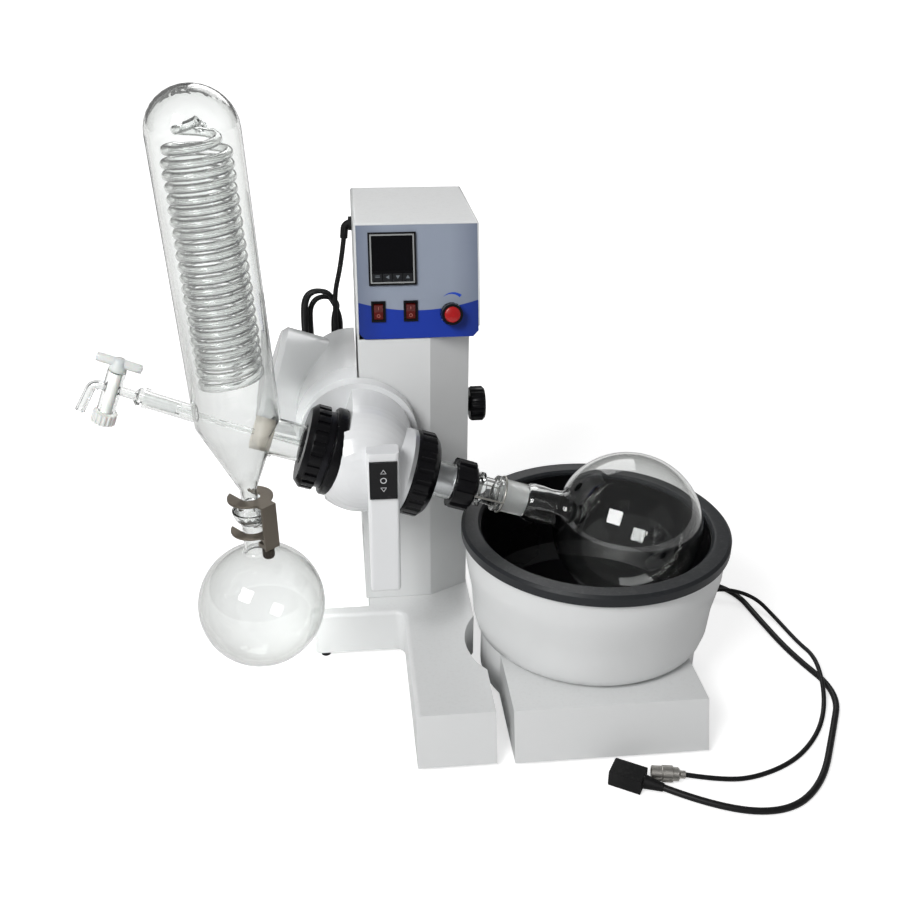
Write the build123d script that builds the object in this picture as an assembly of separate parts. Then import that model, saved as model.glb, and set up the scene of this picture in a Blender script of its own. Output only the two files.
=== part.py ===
from build123d import *
from math import atan2, cos, degrees, radians, sin, sqrt, tan
import os

# Rotary evaporator in millimetres, +Z up, seen from the front along +Y.
# x and y start at the head's middle plane; the last step moves the origin
# to the bench under the middle of the machine.

# Clearances shared by every fit
gap = 0.3
running = 0.05
sheet = 2.0
glass = 2.5

# Base: a body under the column, a leg to the front and a wing to the left
foot_height = 6.0
foot_radius = 9.0
wing_foot_radius = 5.5
base_top = 59.0
base_left = -6.0
base_right = 113.0
base_back = 255.0
base_corner = 12.0
wing_end = -72.0
wing_front = 38.0
wing_thickness = 15.0
leg_left = 33.0
leg_right = 115.0
leg_front = -166.0
leg_nose = 17.0
notch_radius = 84.0
notch_center = (181.0, -28.0)

# Column of bent sheet, with a slot on its left for the carriage arm
column_left = -10.0
column_right = 112.0
column_front = 69.0
column_back = 250.0
column_top = 396.0
chamfer_width = 45.0
chamfer_depth = 25.0
slot_y = (84.0, 176.0)
slot_z = (100.0, 384.0)

# Control box, a wedge with a sloping front panel
box_left = -10.0
box_right = 121.0
box_front = 70.0
box_back = 271.0
box_top = 502.0
panel_lean = 25.0
panel_thickness = 2.5
panel_drop = 10.8
panel_corner = 6.0

# Panel pieces, along the box and up the slope from the panel's lower edge
display_size = (50.0, 54.5)
display_at = (29.0, 72.5)
rocker_size = (15.0, 22.0)
rocker_centres = (13.0, 47.0)
rocker_up = 18.0
rocker_swing = 9.0
speed_at = (90.0, 14.0)
speed_radius = 12.0
speed_height = 13.0
key_count = 4

# Tilting head: its pivot, the slope of the rotating axis and its drum
pivot_x = -12.0
pivot_z = 279.0
axis_slope = 18.5
hub_radius = 64.0
hub_front = 49.5
hub_back = 66.5
drum_radius = 68.0
drum_z = 288.0
drum_back = 192.0
drum_wall = 3.0
head_radius = 58.0
head_front = -52.0
head_dome = 6.0
head_back = 49.0
barrel_radius = 44.5
barrel_left = -24.0
barrel_right = 46.0
spigot_radius = 22.0
spigot_front = 38.5

# Drive motor and its housing, sloping like the rotating axis
motor_y = 165.0
motor_radius = 57.5
motor_wall = 3.0
motor_near = 42.0
motor_far = 104.0
gear_head_radius = 15.0
gear_spread = 36.0

# Lift: two rods, a screw and the block that rides on them
rod_radius = 8.0
rod_x = (13.0, 97.0)
lift_y = 150.0
screw_x = 55.0
screw_radius = 7.0
screw_pitch = 4.0
nut_radius = 14.0
rod_bush_radius = 12.0
block_low = 160.0
block_high = 222.0
lift_motor_radius = 30.0
lift_motor_height = 70.0

# Drive train inside the head
spindle_radius = 16.0
spindle_bore = 12.1
shaft_radius = 5.0
crown_teeth = 40
pinion_teeth = 20
pinion_root = 12.0
tooth_height = 3.0
tooth_width = 1.3
tooth_gap = 0.3
pinion_front = 25.0
pinion_back = 30.0
crown_outer = 30.2
bearing_radius = 28.0

# Rings along the rotating axis, as distances from the pivot
flange_radius = 46.0
flange_left = -36.0
thread_radius = 40.0
ring_nut_radius = 44.0
ring_nut = (-62.0, -43.0)
ring_nut_ribs = 24
cap_radius = 45.5
cap = (50.0, 77.0)
sleeve = (78.0, 100.0)
release = (101.0, 127.0)
release_radius = 25.0

# Rotating flask
flask_radius = 83.0
flask_neck_end = 224.7
flask_distance = flask_radius + flask_neck_end
joint = (153.0, 184.0)
joint_radius = (14.6, 13.1)

# Condenser, measured up its own axis from where that crosses the rotating one
condenser_distance = -128.6
condenser_lean = 3.4
condenser_radius = 43.0
condenser_straight = (8.0, 292.0)
condenser_top = 333.0
cone_low = -70.0
outlet_radius = 9.0
side_neck_radius = 19.5
coil_outer = 33.5
coil_inner = 24.5
coil_pitch = 10.6
coil_turns = 22
coil_low = 50.0
ball_radius = 17.5
ball_drop = -94.0
receiver_radius = 69.0
receiver_neck_length = 50.7
receiver_drop = receiver_radius + receiver_neck_length
receiver_lean = 1.4
receiver_neck = 12.0

# Side arm and stopcock
side_arm_rise = 21.4
side_arm_radius = 8.5
side_arm_end = 97.0
stopcock_distance = 128.0

# Heating bath, a separate unit beside the leg
bath_x = 243.0
bath_top = 189.0
bath_inner_radius = 126.0
bath_rim_width = 21.5
bath_rim_radius = bath_inner_radius + bath_rim_width
bath_floor = 74.0
liner_wall = 1.5
stand_left = 133.0
stand_right = 338.0
stand_front = -168.0
stand_nose = 18.0
stand_back = 150.0
turret_radius = bath_inner_radius - 3.0

# Leads
power_lead = 7.0
sensor_lead = 5.0
box_lead = 6.0

axis_dir = Vector(cos(radians(axis_slope)), 0, -sin(radians(axis_slope)))
axis_up = Vector(sin(radians(axis_slope)), 0, cos(radians(axis_slope)))
pivot = Vector(pivot_x, 0, pivot_z)
axis_plane = Plane(origin=pivot, x_dir=axis_up, z_dir=axis_dir)
condenser_up = Vector(-sin(radians(condenser_lean)), 0, cos(radians(condenser_lean)))
condenser_base = pivot + axis_dir * condenser_distance
condenser_plane = Plane(origin=condenser_base, x_dir=(condenser_up.Z, 0, -condenser_up.X),
                        z_dir=condenser_up)
arm_dir = Vector(-cos(radians(side_arm_rise)), 0, sin(radians(side_arm_rise)))
arm_plane = Plane(origin=condenser_base, x_dir=(0, 1, 0), z_dir=arm_dir)
cock_center = condenser_base + arm_dir * stopcock_distance
cock_plane = Plane(origin=cock_center, x_dir=(0, 1, 0), z_dir=(arm_dir.Z, 0, -arm_dir.X))
ball_center = condenser_base + condenser_up * ball_drop
receiver_up = Vector(-sin(radians(receiver_lean)), 0, cos(radians(receiver_lean)))
receiver_plane = Plane(origin=ball_center, x_dir=(receiver_up.Z, 0, -receiver_up.X), z_dir=receiver_up)
panel_rise = box_top - column_top
panel_length = sqrt(panel_lean**2 + panel_rise**2)
panel_normal = (0, -panel_rise / panel_length, panel_lean / panel_length)
panel_plane = Plane(origin=(0, box_front, column_top), x_dir=(1, 0, 0), z_dir=panel_normal)

parts = {}


def turned(*points):
    """A solid of revolution about local Z from (radius, height) points."""
    face = make_face(Polyline(*[(r, 0, z) for r, z in points], close=True))
    return revolve(face, Axis.Z)


def tube(outer, inner, low, high):
    """A plain tube about local Z."""
    return turned((inner, low), (outer, low), (outer, high), (inner, high))


def rod(radius, low, high):
    """A plain round bar about local Z."""
    return Pos(0, 0, low) * Cylinder(radius, high - low, align=(Align.CENTER, Align.CENTER, Align.MIN))


def block(low, high):
    """A box from its two opposite corners."""
    size = [b - a for a, b in zip(low, high)]
    return Pos(*low) * Box(*size, align=(Align.MIN, Align.MIN, Align.MIN))


def prism(points, low, high):
    """An upright prism on a plan outline."""
    outline = make_face(Polyline(*points, close=True))
    return Pos(0, 0, low) * extrude(outline, high - low, dir=(0, 0, 1))


def slab(points, x_low, x_high):
    """A prism along X on an outline of (y, z) points."""
    outline = make_face(Polyline(*[(x_low, y, z) for y, z in points], close=True))
    return extrude(outline, x_high - x_low, dir=(1, 0, 0))


def along_y(shape, x=0.0, z=0.0):
    """Places a shape whose Z runs along +Y through (x, z)."""
    return Plane(origin=(x, 0, z), x_dir=(1, 0, 0), z_dir=(0, 1, 0)).location * shape


def around(shape, count, start=0.0):
    """Copies of a shape around local Z."""
    return [Rot(0, 0, start + 360 / count * i) * shape for i in range(count)]


def rounded(shape, radius, *points):
    """Rounds the edges whose middles lie nearest to the given points."""
    edges = []
    for point in points:
        edges.append(sorted(shape.edges(), key=lambda e: (e.position_at(0.5) - Vector(*point)).length)[0])
    return fillet(edges, radius)


def add(name, *shapes):
    """Keeps a finished piece under its node name."""
    solids = [s for shape in shapes for s in shape.solids()]
    parts[name] = solids[0] if len(solids) == 1 else Compound(children=solids)


# Base shell, bottom plate and feet
def nose(left, right, front, lean, inset):
    """What a sloping front wall cuts away from the leg or the stand."""
    run = lean * (base_top - foot_height + 40) / (base_top - foot_height)
    points = [
        (front + inset - 60, foot_height - 1),
        (front + inset, foot_height),
        (front + inset + run, base_top + 40),
        (front + inset - 60, base_top + 40),
    ]
    return slab(points, left - 10, right + 10)


def base_form(inset, low, high):
    """The base as a solid drawn in from its outer faces."""
    back = base_back - inset
    left = base_left + inset
    right = base_right - inset
    plan = [
        (wing_end + inset, wing_front + inset),
        (leg_left + inset, wing_front + inset),
        (leg_left + inset, leg_front + inset),
        (leg_right - inset, leg_front + inset),
        (leg_right - inset, -10.0),
        (right, -10.0),
        (right, back),
        (left, back),
        (left, wing_front + wing_thickness - inset),
        (wing_end + inset, wing_front + wing_thickness - inset),
    ]
    form = prism(plan, low, high)
    corners = [
        (leg_left + inset, wing_front + inset, (low + high) / 2),
        (left, back, (low + high) / 2),
        (right, back, (low + high) / 2),
    ]
    form = rounded(form, base_corner - inset, *corners)
    form -= Pos(*notch_center, 0) * rod(notch_radius + inset, low - 1, high + 1)
    return form - nose(leg_left, leg_right, leg_front, leg_nose, inset)


shell = base_form(0, foot_height, base_top)
wing_edges = [
    (wing_end, wing_front, 35),
    (wing_end, wing_front + wing_thickness, 35),
    (wing_end, wing_front + wing_thickness / 2, base_top),
    ((wing_end + leg_left) / 2, wing_front, base_top),
]
shell = rounded(shell, 5.0, *wing_edges)
shell -= base_form(sheet, foot_height + sheet, base_top - sheet)
add("base_shell", shell)
foot = rod(foot_radius, 0, foot_height)
foot_places = [(48, -148), (100, -148), (14, 236), (94, 236)]
wing_foot = Pos(wing_end + 12, wing_front + wing_thickness / 2, 0) * rod(wing_foot_radius, 0, foot_height)
add("rubber_feet", wing_foot, *[Pos(x, y, 0) * foot for x, y in foot_places])


# Column cover
def column_form(inset, low, high):
    """The column as a solid drawn in from its outer faces."""
    slant = inset * tan(radians(15))
    plan = [
        (column_left + inset, column_front + inset),
        (column_right - chamfer_width - slant, column_front + inset),
        (column_right - inset, column_front + chamfer_depth + slant),
        (column_right - inset, column_back - inset),
        (column_left + inset, column_back - inset),
    ]
    return prism(plan, low, high)


cover = column_form(0, base_top, column_top) - column_form(sheet, base_top - 1, column_top + 1)
cover -= block((column_left - 5, slot_y[0], slot_z[0]), (column_left + 10, slot_y[1], slot_z[1]))
panel_foot = column_top - panel_drop - 2 * gap
panel_back = box_front + panel_thickness + 1
cover -= block((box_left + sheet, column_front - 1, panel_foot),
               (column_right + 1, panel_back, column_top + 1))
lock_y = 122.0
lock_z = 284.0
lock_radius = 20.0
lock_plane = Plane(origin=(column_right, lock_y, lock_z), x_dir=(0, 1, 0), z_dir=(1, 0, 0))
cover -= lock_plane.location * rod(5.0 + running, -5, 5)
add("column_cover", cover)
lock = turned(
    (0, -4.5), (7, -4.5), (7, -3), (5, -3), (5, gap), (9, gap), (9, 4.5), (lock_radius - 2, 4.5),
    (lock_radius, 7), (lock_radius, 19), (lock_radius - 3, 22), (0, 22),
)
lock_grooves = around(Pos(lock_radius + 1.7, 0, 4) * rod(3, 0, 20), 16)
add("lock_knob", lock_plane.location * (lock - lock_grooves))

# Lift rods, their end blocks and the lift motor
motor_top = base_top + 3 + lift_motor_height
end_low = motor_top
end_block = 14.0
top_block = 12.0
frame_pieces = [Pos(x, lift_y, 0) * rod(rod_radius, base_top, column_top - 3) for x in rod_x]
for low, high in ((end_low, end_low + end_block), (column_top - 3 - top_block, column_top - 3)):
    plate = block((column_left + sheet + gap, lift_y - 24, low),
                  (column_right - sheet - gap, lift_y + 24, high))
    for x in rod_x:
        plate -= Pos(x, lift_y, 0) * rod(rod_radius, low - 1, high + 1)
    plate -= Pos(screw_x, lift_y, 0) * rod(screw_radius + running, low - 1, high + 1)
    frame_pieces.append(plate)
add("lift_frame", *frame_pieces)
motor_case = Pos(screw_x, lift_y, 0) * rod(lift_motor_radius, base_top, motor_top)
motor_case -= Pos(screw_x, lift_y, 0) * rod(screw_radius + 1, motor_top - 20, motor_top + 1)
add("lift_motor", motor_case)
ridge = screw_radius - 1.2
thread = [(0, motor_top - 18), (screw_radius, motor_top - 18), (screw_radius, end_low + end_block + 2)]
thread_low = end_low + end_block + 4
thread_high = column_top - 3 - top_block - 4
turns = int((thread_high - thread_low) / (2 * screw_pitch))
for i in range(turns):
    start = thread_low + 2 * screw_pitch * i
    thread += [(ridge, start), (screw_radius, start + screw_pitch)]
thread += [(ridge, thread_high), (screw_radius, thread_high + 3), (screw_radius, column_top - 4),
           (0, column_top - 4)]
add("lift_screw", Pos(screw_x, lift_y, 0) * turned(*thread))

# Carriage: hub in front of the column, drum beside it, arm and ride block
drum = along_y(rod(drum_radius, hub_back, drum_back), pivot_x, drum_z)
drum_inside = along_y(rod(drum_radius - drum_wall, hub_back + drum_wall, drum_back - drum_wall), pivot_x,
                      drum_z)
left_side = block((-300, 0, 0), (pivot_x, 400, 700))
left_inside = block((-300, 0, 0), (pivot_x - drum_wall, 400, 700))
motor_plane = Plane(origin=(pivot_x, motor_y, pivot_z), x_dir=axis_up, z_dir=-axis_dir)
motor_hole = motor_plane.location * rod(motor_radius - motor_wall, 20, motor_far + 40)
drum_solid = drum & left_side
hub = along_y(rod(hub_radius, hub_front, hub_back), pivot_x, pivot_z)
spigot = along_y(rod(spigot_radius, spigot_front, hub_front + 1), pivot_x, pivot_z)
arm_low = 176.0
arm = block((pivot_x - 8, slot_y[0] + 6, arm_low), (pivot_x, slot_y[1] - 6, drum_z - 30))
neck = block((pivot_x - 4, slot_y[0] + 6, arm_low), (4, slot_y[1] - 6, block_high))
ride = block((3, lift_y - 22, block_low), (column_right - 5, lift_y + 22, block_high))
carriage = (drum_solid - (drum_inside & left_inside)) + hub + spigot + arm + neck + ride
head_y = (hub_front + 4, hub_back - 3)
gear_left = pivot_x - gear_spread


def gear_head(radius, low, high):
    """The oval gear head that reaches from the motor to the tilt axis."""
    ends = (along_y(rod(radius, low, high), pivot_x, pivot_z)
            + along_y(rod(radius, low, high), gear_left, pivot_z))
    return ends + block((gear_left, low, pivot_z - radius), (pivot_x, high, pivot_z + radius))


carriage -= gear_head(gear_head_radius + gap, *head_y)
carriage -= along_y(rod(shaft_radius + 2, spigot_front - 1, hub_front + 6), pivot_x, pivot_z)
carriage -= along_y(rod(gear_head_radius - 2, hub_front + 6, hub_back + drum_wall + 1), gear_left, pivot_z)
carriage -= motor_hole & left_inside
for x in rod_x:
    carriage -= Pos(x, lift_y, 0) * rod(rod_bush_radius, block_low - 1, block_high + 1)
carriage -= Pos(screw_x, lift_y, 0) * rod(nut_radius, block_low - 1, block_high + 1)
add("carriage_housing", carriage)
bushes = [Pos(x, lift_y, 0) * tube(rod_bush_radius, rod_radius + running, block_low, block_high)
          for x in rod_x]
lift_nut = Pos(screw_x, lift_y, 0) * tube(nut_radius, screw_radius + running, block_low, block_high)
add("lift_bushes", *bushes, lift_nut)

# Motor housing and the right-angle gear motor inside it
far = motor_far
near = motor_near
case = turned(
    (motor_radius - motor_wall, near), (motor_radius, near), (motor_radius, far - 6),
    (motor_radius - 6, far),
    (0, far), (0, far - motor_wall), (motor_radius - 7, far - motor_wall),
    (motor_radius - motor_wall, far - 7.5),
)
drum_cut = along_y(rod(drum_radius, 0, drum_back), pivot_x, drum_z)
add("motor_housing", motor_plane.location * case - drum_cut)
gears = gear_head(gear_head_radius, head_y[0] + gap, head_y[1] - gap)
gears += along_y(rod(gear_head_radius - 3, head_y[1] - 1, hub_back + drum_wall + 2), gear_left, pivot_z)
gears += block((pivot_x - 54, hub_back + drum_wall + 1, pivot_z - 18),
               (pivot_x - 12, motor_y - 6, pivot_z + 22))
gears -= along_y(rod(shaft_radius + running, hub_front, head_y[1] + 1), pivot_x, pivot_z)
drive = motor_plane.location * (rod(34, 34, motor_far - 12) + rod(20, motor_far - 13, motor_far - 5))
add("drive_motor", gears + drive)


# Head: dome and barrel in one casting, hollow for the gears and bearings
dome = []
for i in range(13):
    turn = radians(7.5 * i)
    dome.append((head_radius * sin(turn), head_dome - (head_dome - head_front) * cos(turn)))
body = along_y(turned(*dome, (head_radius, head_back), (0, head_back)), pivot_x, pivot_z)
front_zone = axis_plane.location * (
    block((-200, -200, barrel_left - 200), (200, 28, barrel_left))
    + block((-200, -200, barrel_right), (200, 28, barrel_right + 200))
)
head = body - front_zone + axis_plane.location * rod(barrel_radius, barrel_left, barrel_right)
head -= axis_plane.location * rod(flange_radius + gap, barrel_left - 60, barrel_left)
head -= axis_plane.location * rod(cap_radius + gap, barrel_right, barrel_right + 60)
handle_cut = head
chamber = rod(31.5, -13, 24) + rod(spindle_radius + 1, barrel_left - 1, barrel_right + 1)
chamber += rod(bearing_radius, barrel_left - 1, barrel_left + 8) + rod(bearing_radius, 34, barrel_right + 1)
head -= axis_plane.location * chamber
head -= along_y(rod(16.5, 18, pinion_back + 1.5), pivot_x, pivot_z)
head -= along_y(rod(9, pinion_back, 37), pivot_x, pivot_z)
head -= along_y(rod(spigot_radius + running, 36.5, head_back + 1), pivot_x, pivot_z)
add("head_housing", head)
shaft_bush = along_y(tube(9, shaft_radius + running, pinion_back + 1.5, 36.5), pivot_x, pivot_z)
bearing = turned(
    (spindle_radius + running, 0), (20, 0), (20, 1.5), (24, 1.5), (24, 0), (bearing_radius, 0),
    (bearing_radius, 8),
    (24, 8), (24, 6.5), (20, 6.5), (20, 8), (spindle_radius + running, 8),
)
bearings = [axis_plane.location * Pos(0, 0, place) * bearing for place in (barrel_left, barrel_right - 9)]
add("head_bearings", *bearings, shaft_bush)

# Flange, threaded ring and seal on the condenser's side of the head
flange = turned(
    (24, barrel_left), (flange_radius - 2, barrel_left), (flange_radius, barrel_left - 2),
    (flange_radius, flange_left + 2), (flange_radius - 2, flange_left), (24, flange_left),
)
thread_ring = tube(thread_radius, 31, -56, flange_left)
seal = turned((12.05, -50), (30.5, -50), (30.5, flange_left), (23, flange_left), (23, -27), (19, -27),
              (12.05, -36))
add("vacuum_seal", axis_plane.location * seal)
skirt = turned(
    (21, ring_nut[0]), (38, ring_nut[0]), (ring_nut_radius, ring_nut[0] + 6),
    (ring_nut_radius, ring_nut[1]),
    (thread_radius + running, ring_nut[1]), (thread_radius + running, -56.5), (21, -56.5),
)
notch = Pos(ring_nut_radius + 1, 0, ring_nut[0] + 6) * block((-3, -2.2, 0), (3, 2.2, 20))
add("ring_nut", axis_plane.location * (skirt - around(notch, ring_nut_ribs)))

# Trim ring and bearing cap on the flask's side of the head
trim_ring = tube(barrel_radius, 24, barrel_right, cap[0])
add("metal_rings", axis_plane.location * thread_ring, axis_plane.location * trim_ring)
cap_profile = turned(
    (18, cap[0]), (cap_radius - 1, cap[0]), (cap_radius, cap[0] + 1), (cap_radius, cap[1] - 8),
    (cap_radius - 6, cap[1] - 2), (36, cap[1]), (20.5, cap[1]), (20.5, cap[0] + 12), (18, cap[0] + 12),
)
flute = Pos(cap_radius + 1.5, 0, cap[0] + 4) * rod(3, 0, 16)
add("head_collars", axis_plane.location * flange, axis_plane.location * (cap_profile - around(flute, 24)))

# Handle bar on the dome, with the lift rocker let into its face
handle_x = (-7.0, 25.0)
handle_y = (-59.0, -37.0)
handle_z = (151.0, 312.0)
lift_rocker = (-5.0, 23.0, 262.5, 303.5)
bar = block((handle_x[0], handle_y[0], handle_z[0]), (handle_x[1], handle_y[1], handle_z[1]))
bar = fillet(bar.edges().filter_by(Axis.Z) + bar.faces().sort_by(Axis.Z)[0].edges(), 4)
bar += block((handle_x[0] + 4, handle_y[1] - 5, handle_z[1] - 90),
             (handle_x[1] - 4, handle_y[1] + 22, handle_z[1] - 12))
bar -= handle_cut
bar -= axis_plane.location * rod(cap_radius + gap, barrel_right - 1, cap[1] + 5)
rx0, rx1, rz0, rz1 = lift_rocker
bar -= block((rx0, handle_y[0] - 1, rz0), (rx1, handle_y[0] + 5, rz1))
add("handle", bar)
rz = (rz0 + rz1) / 2
half = (rz1 - rz0) / 2 - gap
rocker = slab(
    [
        (handle_y[0] + 2.8, rz - half), (handle_y[0] - 2.2, rz - half), (handle_y[0] - 0.8, rz),
        (handle_y[0] - 2.2, rz + half), (handle_y[0] + 2.8, rz + half), (handle_y[0] + 4.6, rz),
    ],
    rx0 + gap,
    rx1 - gap,
)
add("lift_rocker", rocker)

# Rotating assembly: spindle, crown gear, steam duct, sleeve and flask
spindle = tube(spindle_radius, spindle_bore, -26, sleeve[1])
add("spindle", axis_plane.location * spindle)
crown_root = pinion_root + tooth_height + tooth_gap
crown = tube(crown_outer, spindle_radius, crown_root, 22)
tooth = block((crown_outer - 5.2, -tooth_width / 2, pinion_root + tooth_gap),
              (crown_outer, tooth_width / 2, crown_root + 0.5))
crown_start = 90 + 180 / crown_teeth
for piece in around(tooth, crown_teeth, crown_start):
    crown += piece
add("crown_gear", axis_plane.location * crown)
add("spindle_sleeve", axis_plane.location * tube(19.5, spindle_radius, *sleeve))
duct = turned(
    (9.5, -48), (12, -48), (12, 128), (18.5, 130), (18.5, 134), (14.6, 136),
    (joint_radius[0], joint[0]), (joint_radius[1], joint[1]), (10.5, joint[1]), (10.5, 136), (9.5, 130),
)
add("steam_duct", axis_plane.location * duct)
reach = sqrt(flask_radius**2 - 20**2)
outer = [(joint_radius[0], 149), (19.3, 149), (19.3, 154), (17.6, 156), (17.6, 184), (20.6, 189),
         (20.6, 200), (19.6, 210), (20, flask_distance - reach)]
inner = [(17, 214), (17.2, 190), (joint_radius[1] + 1, joint[1]), (joint_radius[1], joint[1]),
         (joint_radius[0], joint[0])]
inner_radius = flask_radius - glass
start = degrees(atan2(20, -reach))
sphere = [(flask_radius * sin(radians(a)), flask_distance + flask_radius * cos(radians(a)))
          for a in [start * (1 - i / 18) for i in range(1, 18)]]
start = degrees(atan2(17, -sqrt(inner_radius**2 - 17**2)))
hollow = [(inner_radius * sin(radians(a)), flask_distance + inner_radius * cos(radians(a)))
          for a in [start * i / 18 for i in range(0, 19)]]
add("evaporating_flask", axis_plane.location * turned(*outer, *sphere, (0, flask_distance + flask_radius),
    *hollow, *inner))

# Release nut with the wire spring that holds the flask's lip
grip = turned(
    (spindle_radius + running, release[0]), (release_radius, release[0]), (release_radius, 121), (22, 124),
    (16, release[1]),
    (12.3, release[1]), (12.3, 124), (spindle_radius + running, 124),
)
lugs = around(Pos(release_radius - 0.5, 0, release[0] + 0.5) * block((-2, -4, 0), (2.6, 4, 19.5)), 8)
for lug in lugs:
    grip += lug
add("release_nut", axis_plane.location * grip)
hoop = Pos(0, 0, 156.5) * Torus(19.6, 1.1)
legs = around(Pos(21, 0, 0) * rod(1.1, 121, 157), 2, 90)
spring = hoop
for leg in legs:
    spring += leg
spring -= rod(18.9, 100, 180)
add("wire_spring", axis_plane.location * spring - axis_plane.location * grip)

# Pinion shaft, on the tilt axis
pinion = rod(pinion_root, pinion_front, pinion_back)
tooth = block((pinion_root - 1, -tooth_width / 2, pinion_front),
              (pinion_root + tooth_height, tooth_width / 2, pinion_back))
for piece in around(tooth, pinion_teeth, axis_slope):
    pinion += piece
shaft = rod(shaft_radius, pinion_back - 1, head_y[1] - 1)
add("pinion_shaft", along_y(pinion + shaft, pivot_x, pivot_z))


# Condenser
def on_condenser(shape):
    """Places a shape whose Z is the condenser's axis."""
    return condenser_plane.location * shape


def jacket(inset, top):
    """The condenser's body of revolution, drawn in from its outer face."""
    radius = condenser_radius - inset
    low, high = condenser_straight
    dome = [(radius * cos(radians(a)), high + (top - high) * sin(radians(a))) for a in range(0, 90, 10)]
    return turned((0, cone_low), (outlet_radius - inset, cone_low), (radius, low), *dome, (0, top))


def ball_joint():
    """The ball at the lower end of the condenser."""
    arc = [(ball_radius * cos(radians(a)), ball_drop + ball_radius * sin(radians(a)))
           for a in range(0, -66, -11)]
    return turned((0, cone_low), (outlet_radius, cone_low), (outlet_radius, ball_drop + 9),
                  (ball_radius - 1, ball_drop + 4), *arc, (0, arc[-1][1]))


side_neck = axis_plane.location * rod(side_neck_radius, condenser_distance, -52)
side_foot = axis_plane.location * rod(30, -56, -50)
side_bore = axis_plane.location * rod(side_neck_radius - glass, condenser_distance, -49)
side_lip = axis_plane.location * rod(side_neck_radius + 2, -97, -91)
side_arm = arm_plane.location * (rod(side_arm_radius, 0, side_arm_end)
                                 + rod(side_arm_radius + 2.5, side_arm_end - 5, side_arm_end))
arm_bore = arm_plane.location * rod(side_arm_radius - 2, 0, side_arm_end + 1)
barbs = []
barb_bores = []
barb_profile = [(0, 0), (4.5, 0), (4.5, 18), (5.5, 20), (4.5, 24), (5.5, 26), (4.5, 30), (5.5, 32), (4, 38),
                (0, 38)]
for height in (36, 286):
    barb = Plane(origin=(0, condenser_radius - 4, height), x_dir=(1, 0, 0), z_dir=(0, 1, 0)).location
    barbs.append(on_condenser(barb * turned(*barb_profile)))
    barb_bores.append(on_condenser(barb * rod(2.5, -5, 39)))
solid_glass = (on_condenser(jacket(0, condenser_top)) + side_neck + side_foot + side_lip + side_arm
               + on_condenser(ball_joint()))
for barb in barbs:
    solid_glass += barb
hollow_glass = (on_condenser(jacket(glass, condenser_top - glass) + rod(6.5, ball_drop - 30, cone_low + 4))
                + side_bore + arm_bore)
for bore in barb_bores:
    hollow_glass += bore
add("condenser_jacket", solid_glass - hollow_glass)

# Coil, drawn as one ribbed sleeve around its turns, with its two risers
ribs = []
for i in range(coil_turns):
    low = coil_low + coil_pitch * i
    ribs += [(coil_outer - 2.5, low), (coil_outer, low + coil_pitch / 2)]
coil_high = coil_low + coil_pitch * coil_turns
coil = turned((coil_inner, coil_low), *ribs, (coil_outer - 2.5, coil_high), (coil_inner, coil_high))
top_loop = turned((4, coil_high), (coil_outer - 4, coil_high), (12, coil_high + 22), (4, coil_high + 22))
low_feed = Plane(origin=(0, coil_outer - 5, 36), x_dir=(1, 0, 0), z_dir=(0, 1, 0)).location * rod(3.5, 0,
    condenser_radius - glass - coil_outer + 4.5)
low_riser = Pos(0, coil_outer - 5, 36) * rod(3.5, -3, coil_low - 34)
high_feed = Plane(origin=(0, 8, 286), x_dir=(1, 0, 0), z_dir=(0, 1, 0)).location * rod(3.5, 0,
    condenser_radius - glass - 8.5)
coil_piece = coil + top_loop + low_feed + low_riser
add("condenser_coil", on_condenser(coil_piece + high_feed))


# Receiving flask on its ball joint, with the clamp
def on_receiver(shape):
    """Places a shape whose Z is the receiving flask's axis, zero at the ball."""
    return receiver_plane.location * shape


cup = ball_radius + gap
cup_outer = cup + glass
neck = receiver_neck
depth = receiver_drop - sqrt(receiver_radius**2 - neck**2)
below = [(receiver_radius * sin(radians(a)), -receiver_drop + receiver_radius * cos(radians(a)))
         for a in range(20, 180, 10)]
inner = receiver_radius - glass
inside = [(inner * sin(radians(a)), -receiver_drop + inner * cos(radians(a))) for a in range(170, 10, -10)]
cup_out = [(cup_outer * cos(radians(a)), -cup_outer * sin(radians(a))) for a in range(8, 50, 10)]
cup_in = [(cup * cos(radians(a)), -cup * sin(radians(a))) for a in range(58, 0, -10)]
flask = turned(
    (cup + 0.1, -1), (cup_outer, -1), *cup_out, (neck, -24), (neck, -depth), *below,
    (0, -receiver_drop - receiver_radius),
    (0, -receiver_drop - inner), *inside, (neck - glass, -depth - 1), (neck - glass, -19), *cup_in,
)
add("receiving_flask", on_receiver(flask))
fork_outer = 24.0
fork_thickness = 2.5


def fork(height, slot):
    """A flat fork whose prongs open to the front left."""
    plate = rod(fork_outer, height, height + fork_thickness)
    plate += block((0, -9, height), (fork_outer + 8, 9, height + fork_thickness))
    plate -= rod(slot, height - 1, height + fork_thickness + 1)
    plate -= block((-fork_outer - 5, -slot, height - 1), (0, slot, height + fork_thickness + 1))
    return plate


upper_fork = fork(12.0, outlet_radius + 1.5)
lower_fork = fork(-23.5 - fork_thickness, neck + 1.0)
back_strap = block((fork_outer + 5.5, -9, -37), (fork_outer + 8, 9, 12 + fork_thickness))
ledge = block((fork_outer - 8, -7, -37), (fork_outer + 7, 7, -32))
ledge -= Pos(fork_outer - 1, 0, 0) * rod(3 + running, -60, -30)
clamp_turn = Rot(0, 0, -50)
add("joint_clamp", on_receiver(clamp_turn * (upper_fork + back_strap + ledge)),
    on_receiver(clamp_turn * (lower_fork - back_strap)))
tip_z = -23.5 - fork_thickness - gap
screw = turned((0, tip_z), (3, tip_z), (3, -39), (6.5, -40), (6.5, -48), (5.5, -50), (0, -50))
screw -= around(Pos(7.2, 0, -52) * rod(1.2, 0, 14), 14)
add("clamp_screw", on_receiver(clamp_turn * Pos(fork_outer - 1, 0, 0) * screw))


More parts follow.
